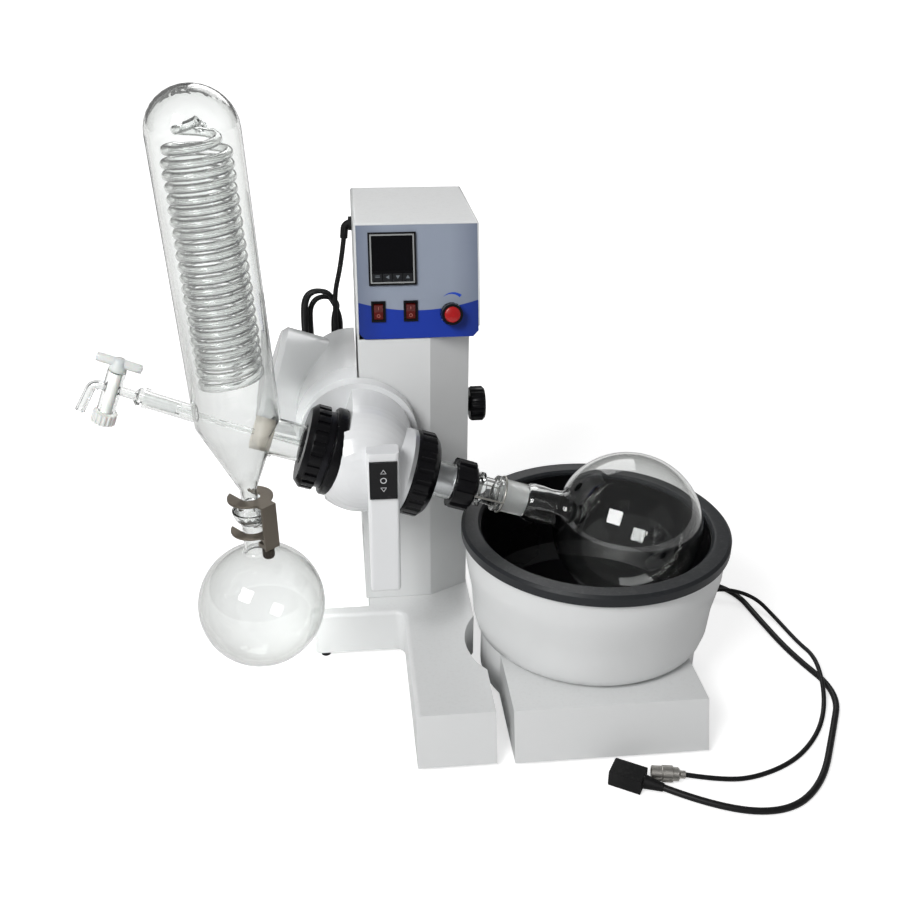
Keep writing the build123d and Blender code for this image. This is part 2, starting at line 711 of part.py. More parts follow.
# Stopcock in the side arm, and the feed tube behind it
def on_arm(shape):
    """Places a shape whose Z runs out along the side arm."""
    return arm_plane.location * shape


def across(shape):
    """Places a shape whose Z is the stopcock's plug axis."""
    return cock_plane.location * shape


joint_out = turned(
    (2.5, 60), (5.6, 60), (6.4, side_arm_end), (6.4, side_arm_end + 2), (9.5, side_arm_end + 2),
    (9.5, side_arm_end + 5), (5, side_arm_end + 9),
    (5, stopcock_distance - 6), (2.5, stopcock_distance - 6),
)
barrel = tube(9.0, 5.5, -24, 20)
start = cock_center + arm_dir * 8
bend = cock_center + arm_dir * 19
tip = bend + Vector(-16, 0, -28)
spout_path = FilletPolyline(start, bend, tip, radius=9)
spout_plane = Plane(origin=start, z_dir=arm_dir)
spout = sweep(spout_plane * Circle(4.75), path=spout_path)
spout_bore = sweep(spout_plane * Circle(2.5), path=spout_path)
cock = on_arm(joint_out) + across(barrel) + (spout - across(rod(5.5, -24, 20))) - spout_bore
plug = turned((0, -33), (3, -33), (3, -24.5), (5.45, -24), (5.45, 21), (3.5, 21), (3.5, 25), (0, 25))
handle_bar = Plane(origin=(0, -22, 29), x_dir=(1, 0, 0), z_dir=(0, 1, 0)).location * rod(4.2, 0, 44)
grip_tabs = block((-2.5, -22, 25), (2.5, 22, 29))
lock_ring = tube(12, 2.9, -37, -26) - around(Pos(13, 0, -38) * rod(2, 0, 13), 16)
plug_port = on_arm(rod(2.0, stopcock_distance - 7, stopcock_distance + 7))
add("stopcock_plug", across(plug + handle_bar + grip_tabs + lock_ring) - plug_port)
feed_start = condenser_base + arm_dir * 59.8
feed_end = pivot + axis_dir * 118
feed_path = FilletPolyline(feed_start, condenser_base, feed_end, radius=60)
feed_plane = Plane(origin=feed_start, z_dir=-arm_dir)
feed_tube = sweep(feed_plane * Circle(3.0), path=feed_path) - sweep(feed_plane * Circle(1.8),
    path=feed_path)
add("stopcock_body", cock, feed_tube)


# Control box: open wedge, panel and the pieces in it
def wedge(inset, left, right):
    """The control box as a solid drawn in from its outer faces."""
    lean = inset * panel_length / panel_rise
    slope = panel_lean / panel_rise
    low = column_top + inset
    high = box_top - inset
    points = [
        (box_front + slope * inset + lean, low),
        (box_back - inset, low),
        (box_back - inset, high),
        (box_front + slope * (panel_rise - inset) + lean, high),
    ]
    return slab(points, left + inset, right - inset)


outer_wedge = wedge(0, box_left, box_right)
outer_wedge = rounded(outer_wedge, 3, (box_left, 180, box_top), (box_right, 180, box_top),
                      (55, box_back, box_top))
box = outer_wedge - wedge(sheet, box_left, box_right)
on_panel = panel_plane.location
box -= on_panel * block((box_left + sheet, sheet, -6), (box_right - sheet, panel_length - sheet, 5))
box -= on_panel * block((box_left + sheet, -sheet, -panel_thickness), (box_right - sheet, sheet + 1, 5))
opening_in_floor = block((10, 90, column_top - 1), (95, 230, column_top + sheet + 1))
box -= opening_in_floor
gland_y = 240.0
gland_z = box_top - 35.0
gland_plane = Plane(origin=(box_left, gland_y, gland_z), x_dir=(0, 1, 0), z_dir=(-1, 0, 0))
box -= gland_plane.location * rod(6, -5, 5)
add("control_housing", box)
plate = block((box_left + sheet, -panel_drop, -panel_thickness),
              (box_right - sheet, panel_length - sheet, 0))
plate = chamfer(plate.edges().filter_by(Axis.Z).sort_by(Axis.Y)[:2], panel_corner)
panel = on_panel * plate
dx, dv = display_at
dw, dh = display_size[0] / 2, display_size[1] / 2
panel -= on_panel * block((dx - dw + 2, dv - dh + 2, -9), (dx + dw - 2, dv + dh - 2, 9))
rw, rh = rocker_size[0] / 2, rocker_size[1] / 2
for x in rocker_centres:
    panel -= on_panel * block((x - rw + 1, rocker_up - rh + 1, -9), (x + rw - 1, rocker_up + rh - 1, 9))
panel -= on_panel * Pos(*speed_at, 0) * rod(3 + running, -9, 9)
add("front_panel", panel)
frame = block((dx - dw, dv - dh, 0), (dx + dw, dv + dh, 2.5))
frame += block((dx - dw + 2, dv - dh + 2, -14), (dx + dw - 2, dv + dh - 2, 0.5))
frame -= block((dx - dw + 4, dv - dh + 15, -12), (dx + dw - 4, dv + dh - 4, 9))
frame -= block((dx - dw + 4, dv - dh + 4, -4), (dx + dw - 4, dv - dh + 12.5, 9))
window = block((dx - dw + 4, dv - dh + 15, -0.5), (dx + dw - 4, dv + dh - 4, 1.0))
module = block((dx - dw + 5, dv - dh + 16, -10), (dx + dw - 5, dv + dh - 5, 0))
add("display_screen", on_panel * (window + module))
key_step = (2 * dw - 8) / key_count
for i in range(key_count):
    left = dx - dw + 4 + key_step * i + gap
    right = left + key_step - 2 * gap
    key = block((left, dv - dh + 4 + gap, -2.9), (right, dv - dh + 12.5 - gap, 2.3))
    add(f"display_key_{i + 1}", on_panel * key)
frames = [on_panel * frame]
for number, x in enumerate(rocker_centres):
    ring = block((x - rw, rocker_up - rh, 0), (x + rw, rocker_up + rh, 1.5))
    ring += block((x - rw + 1, rocker_up - rh + 1, -16), (x + rw - 1, rocker_up + rh - 1, 0.5))
    ring -= block((x - rw + 2.5, rocker_up - rh + 2.5, -12), (x + rw - 2.5, rocker_up + rh - 2.5, 5))
    frames.append(on_panel * ring)
    lean = tan(radians(rocker_swing))
    reach = rh - 3.5
    outline = [(-reach, -4), (-reach, 0.8 + reach * lean), (0, 0.8), (reach, 0.8 + reach * lean),
               (reach, -4), (0, -7)]
    face = make_face(Polyline(*[(x - rw + 2.5 + gap, v, w + 2) for v, w in outline], close=True))
    lever = extrude(face, 2 * (rw - 2.5 - gap), dir=(1, 0, 0))
    add(f"power_rocker_{number + 1}", on_panel * Pos(0, rocker_up, -2) * Rot(rocker_swing, 0, 0) * lever)
add("panel_frames", *frames)
stem = turned((0, -11), (3, -11), (3, 1), (speed_radius, 1), (speed_radius, 4),
              (speed_radius - 1, speed_height), (0, speed_height))
stem -= around(Pos(speed_radius + 0.8, 0, 3) * rod(1.4, 0, speed_height), 18)
add("speed_knob", on_panel * Pos(*speed_at, 0) * stem)
pot = rod(8, -14, -panel_thickness) - rod(3 + running, -11.1, 0)
board = block((20, 130, column_top + sheet), (100, 240, column_top + sheet + 30))
add("control_boards", on_panel * Pos(*speed_at, 0) * pot, board)

# Bath: stand with a round turret, bowl, rim, liner, heater and sensor
def stand_form(inset, low, high):
    """The bath's stand as a solid drawn in from its outer faces."""
    plan = [
        (stand_left + inset, stand_front + inset),
        (stand_right - inset, stand_front + inset),
        (stand_right - inset, stand_back - inset),
        (stand_left + inset, stand_back - inset),
    ]
    form = prism(plan, low, high) + Pos(bath_x, 0, 0) * rod(turret_radius - inset, low, high)
    return form - nose(stand_left, stand_right, stand_front, stand_nose, inset)


stand = stand_form(0, foot_height, base_top) - stand_form(sheet, foot_height + sheet, base_top - sheet)
lead_exit = (stand_right, 130.0, 27.0)
sensor_exit = (stand_right, 100.0, 27.0)
for exit_point, hole in ((lead_exit, 6.0), (sensor_exit, 4.0)):
    stand -= Plane(origin=exit_point, x_dir=(0, 1, 0), z_dir=(1, 0, 0)).location * rod(hole, -6, 6)
stand -= Pos(bath_x, 0, 0) * rod(30, base_top - 5, base_top + 5)
add("bath_stand", stand)
stand_feet = [(stand_left + 16, -140), (stand_right - 16, -140), (stand_left + 16, 134),
              (stand_right - 16, 134)]
add("stand_feet", *[Pos(x, y, 0) * foot for x, y in stand_feet])
outer_wall = [(-14, 0), (-3, 2.5), (3, 8), (6.5, 20), (9, 51), (12.5, 69), (16, 89),
              (17, bath_top - 12 - base_top)]
inner_wall = [(14.5, bath_top - 12 - base_top), (13.5, 90), (10, 70), (6.5, 52), (4, 22), (-0.5, 11),
              (-7, 6), (-22, 3)]
bowl_outer = [(bath_inner_radius + out, base_top + rise) for out, rise in outer_wall]
bowl_inner = [(bath_inner_radius + out, base_top + rise) for out, rise in inner_wall]
bowl = turned((0, base_top), *bowl_outer, *bowl_inner, (0, 62)) - rod(30, base_top - 1, base_top + 8)
add("bath_bowl", Pos(bath_x, 0, 0) * bowl)
rim = turned(
    (bath_inner_radius + 0.5, bath_top - 3), (bath_inner_radius + 3, bath_top - 0.5),
    (bath_inner_radius + 6, bath_top),
    (bath_rim_radius - 3, bath_top), (bath_rim_radius, bath_top - 3), (bath_rim_radius, bath_top - 12),
    (bath_rim_radius - 3, bath_top - 12), (bath_inner_radius + 14.5, bath_top - 12),
    (bath_inner_radius + 14.5, bath_top - 6), (bath_inner_radius + 0.5, bath_top - 6),
)
add("bath_rim", Pos(bath_x, 0, 0) * rim)
liner = turned(
    (0, bath_floor), (bath_inner_radius - 14, bath_floor), (bath_inner_radius, bath_floor + 16),
    (bath_inner_radius, bath_top - 6.5), (bath_inner_radius + 11, bath_top - 6.5),
    (bath_inner_radius + 11, bath_top - 8),
    (bath_inner_radius + liner_wall, bath_top - 8), (bath_inner_radius + liner_wall, bath_floor + 15),
    (bath_inner_radius - 13, bath_floor - liner_wall), (0, bath_floor - liner_wall),
)
add("bath_liner", Pos(bath_x, 0, 0) * liner)
heater = Pos(bath_x, 0, 0) * tube(90, 82, 66, bath_floor - liner_wall)
thermostat = block((bath_x + 10, -12, 64), (bath_x + 50, 12, bath_floor - liner_wall))
add("heater_and_thermostat", heater, thermostat)


# Leads
def lead(name, diameter, points):
    """A round cord along straight runs and tangent arcs."""
    points = [Vector(*p) for p in points]
    radii = []
    for before, here, after in zip(points, points[1:], points[2:]):
        a = (here - before)
        b = (after - here)
        half = radians(a.get_angle(b)) / 2
        radii.append(0.45 * min(a.length, b.length) / tan(half))
    path = FilletPolyline(*points, radius=radii)
    section = Plane(origin=points[0], z_dir=points[1] - points[0]) * Circle(diameter / 2)
    add(name, sweep(section, path=path))
    length = sum(e.length for e in path.edges())
    print(name, "length", round(length), "radii", [round(r, 1) for r in radii])


def relief(name, place, low, high, length):
    """A tapered boot on a lead, along local Z, with a collar at its root."""
    boot = turned((0, 0), (high, 0), (high, 3), (low, length), (0, length))
    add(name, place * boot)


power_route = [
    (stand_right + 25.3, 130, 27), (378, 132, 22), (424, 158, 3.5), (470, 122, 3.5), (478, 60, 3.5),
    (490, -15, 3.5),
    (516, -88, 3.5), (480, -152, 3.5), (438, -224, 3.5), (388, -259, 3.5), (322, -249, 5.5),
    (274, -219.5, 9),
]
sensor_route = [
    (stand_right, 100, 27), (368, 101, 22), (410, 114, 3), (446, 119, 13), (484, 97, 13), (500, 60, 3),
    (508, 8, 2.5), (509, -32, 13), (501, -74, 13), (489, -112, 2.5), (462, -154, 2.5), (422, -190, 2.5),
    (372, -209, 2.5), (334, -210, 5), (301, -204, 9),
]
box_route = [(box_left - 9.6, gland_y, gland_z - 17.7), (box_left - 14, gland_y, 418),
             (box_left - 25, gland_y, 384)]
lead("power_lead", power_lead, power_route)
lead("sensor_lead", sensor_lead, sensor_route)
lead("box_lead", box_lead, box_route)
outward = Plane(origin=lead_exit, x_dir=(0, 1, 0), z_dir=(1, 0, 0)).location
relief("power_relief", outward, power_lead / 2 + 0.6, 6.5, 24)
elbow = FilletPolyline(
    (box_left, gland_y, gland_z), (box_left - 8, gland_y, gland_z), (box_left - 9.5, gland_y, gland_z - 17),
    radius=box_lead + 1
)
boot = sweep(Plane(origin=(box_left, gland_y, gland_z), z_dir=(-1, 0, 0)) * Circle(box_lead / 2 + 1.5),
             path=elbow)
collar = Plane(origin=(box_left, gland_y, gland_z), x_dir=(0, 1, 0), z_dir=(-1, 0, 0)).location * rod(8, 0,
    4)
add("box_relief", boot + collar)


def facing(end, before):
    """A level frame at the end of a route, with Z running on past it."""
    run = Vector(end[0] - before[0], end[1] - before[1], 0).normalized()
    return Plane(origin=Vector(*end) + run * gap, x_dir=(-run.Y, run.X, 0), z_dir=run).location


def socket(length):
    """A three-pin appliance connector with its boot, from the lead outwards."""
    body = block((-11.5, -8.3, 20), (11.5, 8.3, length))
    body = chamfer(body.faces().sort_by(Axis.Z)[-1].edges(), 1)
    body += turned((0, 0), (4.2, 0), (7.5, 21), (0, 21))
    for x, y in ((0, -3), (-6, 2), (6, 2)):
        body -= Pos(x, y, 0) * block((-1.2, -2, length - 14), (1.2, 2, length + 1))
    return body


add("power_plug", facing(power_route[-1], power_route[-2]) * socket(54))
round_plug = turned(
    (0, 0), (4, 0), (4, 5), (7, 7), (7, 12), (8.5, 13), (8.5, 23), (7.6, 24), (7.6, 34), (6.2, 34),
    (6.2, 26), (0, 26)
)
add("sensor_connector", facing(sensor_route[-1], sensor_route[-2]) * round_plug)
hank_x = (-72.4, -29.8)
hank_z = (268.0, 388.6)
hank_y = (232.0, 264.0)
hank_radius = (hank_x[1] - hank_x[0]) / 2
hank_mid = (hank_x[0] + hank_x[1]) / 2
hank = block((hank_x[0], hank_y[0], hank_z[0] + hank_radius),
             (hank_x[1], hank_y[1], hank_z[1] - hank_radius))
for z in (hank_z[0] + hank_radius, hank_z[1] - hank_radius):
    hank += along_y(rod(hank_radius, *hank_y), hank_mid, z)
band = block((hank_x[0] - 1, hank_y[0] - 1, 300), (hank_x[1] + 1, hank_y[1] + 1, 307)) - hank
hanging = Plane(origin=(hank_mid, hank_y[1] - 8, hank_z[0] + 0.5), x_dir=(1, 0, 0),
                z_dir=(0, 0, -1)).location
add("box_hank", hank, band, hanging * socket(54) - hank)

# The origin moves under the middle of the machine, and every piece is written
cord_pieces = [
    "power_lead", "power_relief", "power_plug", "sensor_lead", "sensor_connector",
    "box_lead", "box_relief", "box_hank",
]
boxes = [shape.bounding_box() for name, shape in parts.items() if name not in cord_pieces]
x_mid = (min(b.min.X for b in boxes) + max(b.max.X for b in boxes)) / 2
y_mid = (min(b.min.Y for b in boxes) + max(b.max.Y for b in boxes)) / 2
print("shift", round(-x_mid, 4), round(-y_mid, 4))
os.makedirs("parts", exist_ok=True)
for name, shape in parts.items():
    export_step(Pos(-x_mid, -y_mid, 0) * shape, f"parts/{name}.step")
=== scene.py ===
import bpy
import bmesh
from math import cos, pi, radians, sin, sqrt, tan
from mathutils import Matrix, Vector


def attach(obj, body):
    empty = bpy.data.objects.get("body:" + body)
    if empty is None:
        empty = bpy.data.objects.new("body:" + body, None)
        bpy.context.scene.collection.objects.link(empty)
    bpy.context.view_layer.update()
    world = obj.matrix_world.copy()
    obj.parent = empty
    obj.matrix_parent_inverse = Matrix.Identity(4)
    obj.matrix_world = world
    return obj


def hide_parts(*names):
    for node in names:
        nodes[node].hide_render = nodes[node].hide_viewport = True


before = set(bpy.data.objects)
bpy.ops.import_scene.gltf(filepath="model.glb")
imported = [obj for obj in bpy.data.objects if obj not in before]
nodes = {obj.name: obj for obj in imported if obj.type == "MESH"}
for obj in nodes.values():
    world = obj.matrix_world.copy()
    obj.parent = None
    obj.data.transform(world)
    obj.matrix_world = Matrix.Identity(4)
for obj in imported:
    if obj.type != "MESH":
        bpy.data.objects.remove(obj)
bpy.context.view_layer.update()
scene = bpy.context.scene


# Camera: it stands in front of the column and a little to its left, well above the bath,
# and looks down on the machine, so both rims show as flat ellipses.
middle_x, middle_y = 49.7781, 51.5


def at(x, y, z):
    """A point given in the machine's millimetres, in the frame's metres."""
    return Vector(((x - middle_x) / 1000, (y - middle_y) / 1000, z / 1000))


eye = at(-26.0, -990.6, 768.5)
yaw, pitch, roll = radians(6.2), radians(25.9), radians(-0.4)
forward = Vector((sin(yaw) * cos(pitch), cos(yaw) * cos(pitch), -sin(pitch)))
level_right = Vector((cos(yaw), -sin(yaw), 0))
level_down = forward.cross(level_right)
right = cos(roll) * level_right + sin(roll) * level_down
down = -sin(roll) * level_right + cos(roll) * level_down
camera = bpy.data.objects.new("camera", bpy.data.cameras.new("camera"))
camera.data.lens = 42.27
camera.data.sensor_width = 36
camera.data.clip_end = 50
turned = Matrix((right, -down, -forward)).transposed().to_4x4()
camera.matrix_world = Matrix.Translation(eye) @ turned
scene.collection.objects.link(camera)
scene.camera = camera


# Finishes: paints, mouldings and metals share one skin of slow tone changes, fine grain,
# dust on level faces and paler edges. Each finish then sets its own gloss on the shader.
def new_group(name, inputs, outputs):
    """A shader node group with named inputs and outputs, and its two ends."""
    group = bpy.data.node_groups.new(name, "ShaderNodeTree")
    for label, kind, value in inputs:
        socket = group.interface.new_socket(label, in_out="INPUT", socket_type=kind)
        if value is not None:
            socket.default_value = value
    for label, kind in outputs:
        group.interface.new_socket(label, in_out="OUTPUT", socket_type=kind)
    return group, group.nodes.new("NodeGroupInput"), group.nodes.new("NodeGroupOutput")


def node(tree, kind, **settings):
    """A node of that kind, with its properties and numbered or named inputs set."""
    made = tree.nodes.new(kind)
    for key, value in settings.items():
        if key.startswith("in_"):
            label = key[3:]
            made.inputs[int(label) if label.isdigit() else label.replace("_", " ")].default_value = value
        else:
            setattr(made, key, value)
    return made


FLOAT, COLOR, VECTOR = "NodeSocketFloat", "NodeSocketColor", "NodeSocketVector"
skin, g_in, g_out = new_group(
    "surface_skin",
    [("Color", COLOR, (0.8, 0.8, 0.8, 1)), ("Tone", FLOAT, 0.05), ("Gloss", FLOAT, 0.3),
     ("Smears", FLOAT, 0.1), ("Grain", FLOAT, 900.0), ("Relief", FLOAT, 0.1), ("Dust", FLOAT, 0.1),
     ("Wear", FLOAT, 0.1)],
    [("Color", COLOR), ("Roughness", FLOAT), ("Normal", VECTOR)],
)
place = node(skin, "ShaderNodeTexCoord")
slow = node(skin, "ShaderNodeTexNoise", in_Scale=9.0, in_Detail=4.0)
fine = node(skin, "ShaderNodeTexNoise", in_Detail=3.0)
specks = node(skin, "ShaderNodeTexNoise", in_Scale=240.0, in_Detail=6.0, in_Roughness=0.7)
for texture in (slow, fine, specks):
    skin.links.new(place.outputs["Object"], texture.inputs["Vector"])
skin.links.new(g_in.outputs["Grain"], fine.inputs["Scale"])
darker = node(skin, "ShaderNodeMath", operation="MULTIPLY_ADD", in_2=1.0)
spread = node(skin, "ShaderNodeMath", operation="MULTIPLY", in_1=-1.0)
skin.links.new(g_in.outputs["Tone"], spread.inputs[0])
skin.links.new(slow.outputs["Fac"], darker.inputs[0])
skin.links.new(spread.outputs[0], darker.inputs[1])
toned = node(skin, "ShaderNodeVectorMath", operation="SCALE")
skin.links.new(g_in.outputs["Color"], toned.inputs[0])
skin.links.new(darker.outputs[0], toned.inputs["Scale"])
surface = node(skin, "ShaderNodeNewGeometry")
edge = node(skin, "ShaderNodeMapRange", in_1=0.53, in_2=0.62)
skin.links.new(surface.outputs["Pointiness"], edge.inputs[0])
worn = node(skin, "ShaderNodeMath", operation="MULTIPLY")
skin.links.new(edge.outputs[0], worn.inputs[0])
skin.links.new(g_in.outputs["Wear"], worn.inputs[1])
paler = node(skin, "ShaderNodeMix", data_type="RGBA")
paler.inputs[7].default_value = (0.62, 0.62, 0.62, 1)
skin.links.new(worn.outputs[0], paler.inputs[0])
skin.links.new(toned.outputs[0], paler.inputs[6])
split = node(skin, "ShaderNodeSeparateXYZ")
skin.links.new(surface.outputs["Normal"], split.inputs[0])
upward = node(skin, "ShaderNodeMapRange", in_1=0.55, in_2=1.0)
skin.links.new(split.outputs["Z"], upward.inputs[0])
flecks = node(skin, "ShaderNodeMapRange", in_1=0.5, in_2=0.72)
skin.links.new(specks.outputs["Fac"], flecks.inputs[0])
settled = node(skin, "ShaderNodeMath", operation="MULTIPLY")
skin.links.new(upward.outputs[0], settled.inputs[0])
skin.links.new(flecks.outputs[0], settled.inputs[1])
dusted = node(skin, "ShaderNodeMath", operation="MULTIPLY")
skin.links.new(settled.outputs[0], dusted.inputs[0])
skin.links.new(g_in.outputs["Dust"], dusted.inputs[1])
dusty = node(skin, "ShaderNodeMix", data_type="RGBA")
dusty.inputs[7].default_value = (0.45, 0.44, 0.42, 1)
skin.links.new(dusted.outputs[0], dusty.inputs[0])
skin.links.new(paler.outputs[2], dusty.inputs[6])
skin.links.new(dusty.outputs[2], g_out.inputs["Color"])
smear = node(skin, "ShaderNodeMath", operation="MULTIPLY_ADD")
skin.links.new(slow.outputs["Fac"], smear.inputs[0])
skin.links.new(g_in.outputs["Smears"], smear.inputs[1])
skin.links.new(g_in.outputs["Gloss"], smear.inputs[2])
rougher = node(skin, "ShaderNodeMath", operation="ADD", use_clamp=True)
skin.links.new(smear.outputs[0], rougher.inputs[0])
skin.links.new(dusted.outputs[0], rougher.inputs[1])
skin.links.new(rougher.outputs[0], g_out.inputs["Roughness"])
bump = node(skin, "ShaderNodeBump", in_Distance=0.0006)
skin.links.new(fine.outputs["Fac"], bump.inputs["Height"])
skin.links.new(g_in.outputs["Relief"], bump.inputs["Strength"])
skin.links.new(bump.outputs[0], g_out.inputs["Normal"])


def finish_of(name, color, tone=0.05, gloss=0.3, smears=0.1, grain=900.0, relief=0.05, dust=0.0, wear=0.0,
              **shader):
    """A material: the shared skin, with the shader's own plain values by socket name."""
    made = bpy.data.materials.new(name)
    made.use_nodes = True
    tree = made.node_tree
    bsdf = tree.nodes["Principled BSDF"]
    coat = node(tree, "ShaderNodeGroup", node_tree=skin)
    for label, value in (("Color", (*color, 1)), ("Tone", tone), ("Gloss", gloss), ("Smears", smears),
                         ("Grain", grain), ("Relief", relief), ("Dust", dust), ("Wear", wear)):
        coat.inputs[label].default_value = value
    tree.links.new(coat.outputs["Color"], bsdf.inputs["Base Color"])
    tree.links.new(coat.outputs["Roughness"], bsdf.inputs["Roughness"])
    tree.links.new(coat.outputs["Normal"], bsdf.inputs["Normal"])
    for label, value in shader.items():
        bsdf.inputs[label.replace("_", " ")].default_value = value
    return made


def dress(material, *names):
    """Gives CAD nodes one material."""
    for name in names:
        part = nodes[name]
        part.data.materials.clear()
        part.data.materials.append(material)


def soften(width, *names):
    """Rounds the drawn edges of CAD nodes a little, as paint and moulds do."""
    for name in names:
        weld = nodes[name].modifiers.new("joined", "WELD")
        weld.merge_threshold = 0.00001
        rounding = nodes[name].modifiers.new("rounded", "BEVEL")
        rounding.width = width / 1000
        rounding.segments = 2
        rounding.limit_method = "ANGLE"
        rounding.angle_limit = radians(40)
        rounding.harden_normals = True


def smooth(*names):
    """Joins the bands of turned CAD nodes into one smooth face."""
    for name in names:
        weld = nodes[name].modifiers.new("joined", "WELD")
        weld.merge_threshold = 0.00001
        nodes[name].data.shade_smooth()
        split_up = nodes[name].modifiers.new("kept_edges", "EDGE_SPLIT")
        split_up.split_angle = radians(35)
        nodes[name].modifiers.new("even_faces", "WEIGHTED_NORMAL").keep_sharp = True


white_paint = finish_of("white_paint", (0.78, 0.79, 0.79), tone=0.05, gloss=0.3, smears=0.12, grain=1400.0,
                        relief=0.12, dust=0.12, Coat_Weight=0.25, Coat_Roughness=0.12)
white_moulding = finish_of("white_moulding", (0.82, 0.83, 0.84), tone=0.03, gloss=0.16, smears=0.1,
                           grain=500.0, relief=0.03, dust=0.05, Coat_Weight=0.3, Coat_Roughness=0.06)
black_moulding = finish_of("black_moulding", (0.0035, 0.0035, 0.0045), tone=0.3, gloss=0.2, smears=0.14,
                           grain=2600.0, relief=0.1, dust=0.01, wear=0.012, Specular_IOR_Level=0.2)
black_rubber = finish_of("black_rubber", (0.005, 0.005, 0.0055), tone=0.3, gloss=0.46, smears=0.2,
                         grain=1800.0, relief=0.3, dust=0.03, wear=0.01, Specular_IOR_Level=0.24)
steel = finish_of("turned_steel", (0.58, 0.58, 0.59), tone=0.15, gloss=0.24, smears=0.2, grain=2400.0,
                  relief=0.2, Metallic=1.0, Anisotropic=0.4)
bright_metal = finish_of("plated_metal", (0.62, 0.6, 0.56), tone=0.2, gloss=0.2, smears=0.25, grain=2000.0,
                         relief=0.2, dust=0.05, Metallic=1.0)
brass = finish_of("turned_brass", (0.72, 0.53, 0.26), tone=0.2, gloss=0.28, smears=0.2, grain=2200.0,
                  relief=0.15, Metallic=1.0)
alloy = finish_of("machined_alloy", (0.7, 0.71, 0.72), tone=0.12, gloss=0.22, smears=0.2, grain=2200.0,
                  relief=0.15, Metallic=1.0)


# Leads: the bath's mains lead and its sensor's lead leave the stand at the right, run forward
# on the bench and cross twice. The mains lead is heavier and ends in a three-pin connector.
def route(name, points, diameter, material):
    """A cord as one smooth curve through its route's control points."""
    data = bpy.data.curves.new(name, "CURVE")
    data.dimensions = "3D"
    line = data.splines.new("NURBS")
    line.points.add(len(points) - 1)
    for point, place_at in zip(line.points, points):
        point.co = (*at(*place_at), 1)
    line.order_u = 3
    line.use_endpoint_u = True
    line.resolution_u = 10
    data.bevel_depth = diameter / 2000
    data.bevel_resolution = 5
    data.use_fill_caps = True
    data.materials.append(material)
    made = bpy.data.objects.new(name, data)
    scene.collection.objects.link(made)
    return made


cord_sheath = finish_of("cord_sheath", (0.005, 0.005, 0.0055), tone=0.25, gloss=0.34, smears=0.2,
                        grain=1600.0, relief=0.15, dust=0.04, Specular_IOR_Level=0.35)
mains_points = [
    (363.3, 130, 27), (378, 132, 22), (424, 158, 3.5), (470, 122, 3.5), (478, 60, 3.5), (490, -15, 3.5),
    (516, -88, 3.5), (480, -152, 3.5), (438, -224, 3.5), (388, -259, 3.5), (322, -249, 5.5),
    (274, -219.5, 9),
]
mains_lead = route("mains_lead", mains_points, 7, cord_sheath)
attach(mains_lead, "bath")
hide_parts("power_lead")
sensor_points = [
    (338, 100, 27), (368, 101, 22), (410, 114, 3), (446, 119, 13), (484, 97, 13), (500, 60, 3),
    (508, 8, 2.5), (509, -32, 13), (501, -74, 13), (489, -112, 2.5), (462, -154, 2.5), (422, -190, 2.5),
    (372, -209, 2.5), (334, -210, 5), (301, -204, 9),
]
sensor_lead = route("thin_lead", sensor_points, 5, cord_sheath)
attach(sensor_lead, "bath")
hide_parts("sensor_lead")
dress(black_rubber, "power_relief", "power_plug")
dress(bright_metal, "sensor_connector")

# The column's own lead hangs from the gland on the box's left side. Its length is folded
# into a hank of loose turns behind the carriage, held by a tie, with its connector below.
hank_points = [(-19.6, 240, 449.3), (-24, 240, 418), (-33, 237, 384)]
turns = 4
for turn in range(turns):
    inward = 0.6 * (turn % 2)
    aside = (0.0, 4.5, -3.0, 5.0)[turn]
    lower = (0.0, 8.0, 3.5, 12.0)[turn]
    for step, (x, z) in enumerate((
        (-32.8, 352), (-33.2, 327), (-32.8, 302), (-34.8, 280), (-43, 270.4), (-59, 270.4), (-67.6, 280),
        (-69.4, 302), (-69.0, 327), (-69.4, 352), (-67.6, 376), (-59, 386.0), (-43, 386.0), (-34.8, 376),
    )):
        if turn == turns - 1 and step > 13:
            break
        along = 235.3 + 6.3 * (turn + step / 14)
        hank_points.append((x + inward + aside, along, z - 2 * inward - lower * (z > 360)))
hank_points += [(-32.8, 260.5, 352), (-33.4, 260.5, 327), (-34.5, 259.5, 306), (-42, 257.5, 288),
                (-51.1, 256, 278), (-51.1, 256, 266)]
box_cord = route("folded_lead", hank_points, 6, cord_sheath)
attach(box_cord, "base")
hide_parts("box_lead", "box_hank")


def mesh_piece(name, body, slot, *materials):
    """An object with an empty mesh that rides on a body and takes those materials."""
    made = bpy.data.objects.new(name, bpy.data.meshes.new(name))
    scene.collection.objects.link(made)
    for material in materials:
        made.data.materials.append(material)
    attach(made, body)
    return made


def lathe(shape, profile, origin, axis, side, count=48, material=0):
    """Turns (radius, along) points in millimetres round an axis into a bmesh."""
    across = axis.cross(side)
    spokes = [side * cos(2 * pi * i / count) + across * sin(2 * pi * i / count) for i in range(count)]
    rings = []
    for radius, along in profile:
        center = origin + axis * along / 1000
        if radius < 0.001:
            rings.append([shape.verts.new(center)])
            continue
        rings.append([shape.verts.new(center + spoke * radius / 1000) for spoke in spokes])
    for low, high in zip(rings, rings[1:]):
        for i in range(count):
            j = (i + 1) % count
            corners = [low[i % len(low)], low[j % len(low)], high[j % len(high)], high[i % len(high)]]
            corners = [v for k, v in enumerate(corners) if v not in corners[:k]]
            if len(corners) > 2:
                shape.faces.new(corners).material_index = material


def close(shape, made, smooth_faces=True):
    """Writes a bmesh into its piece with its faces turned outwards."""
    bmesh.ops.recalc_face_normals(shape, faces=shape.faces)
    for face in shape.faces:
        face.smooth = smooth_faces
    shape.to_mesh(made.data)
    shape.free()
    return made


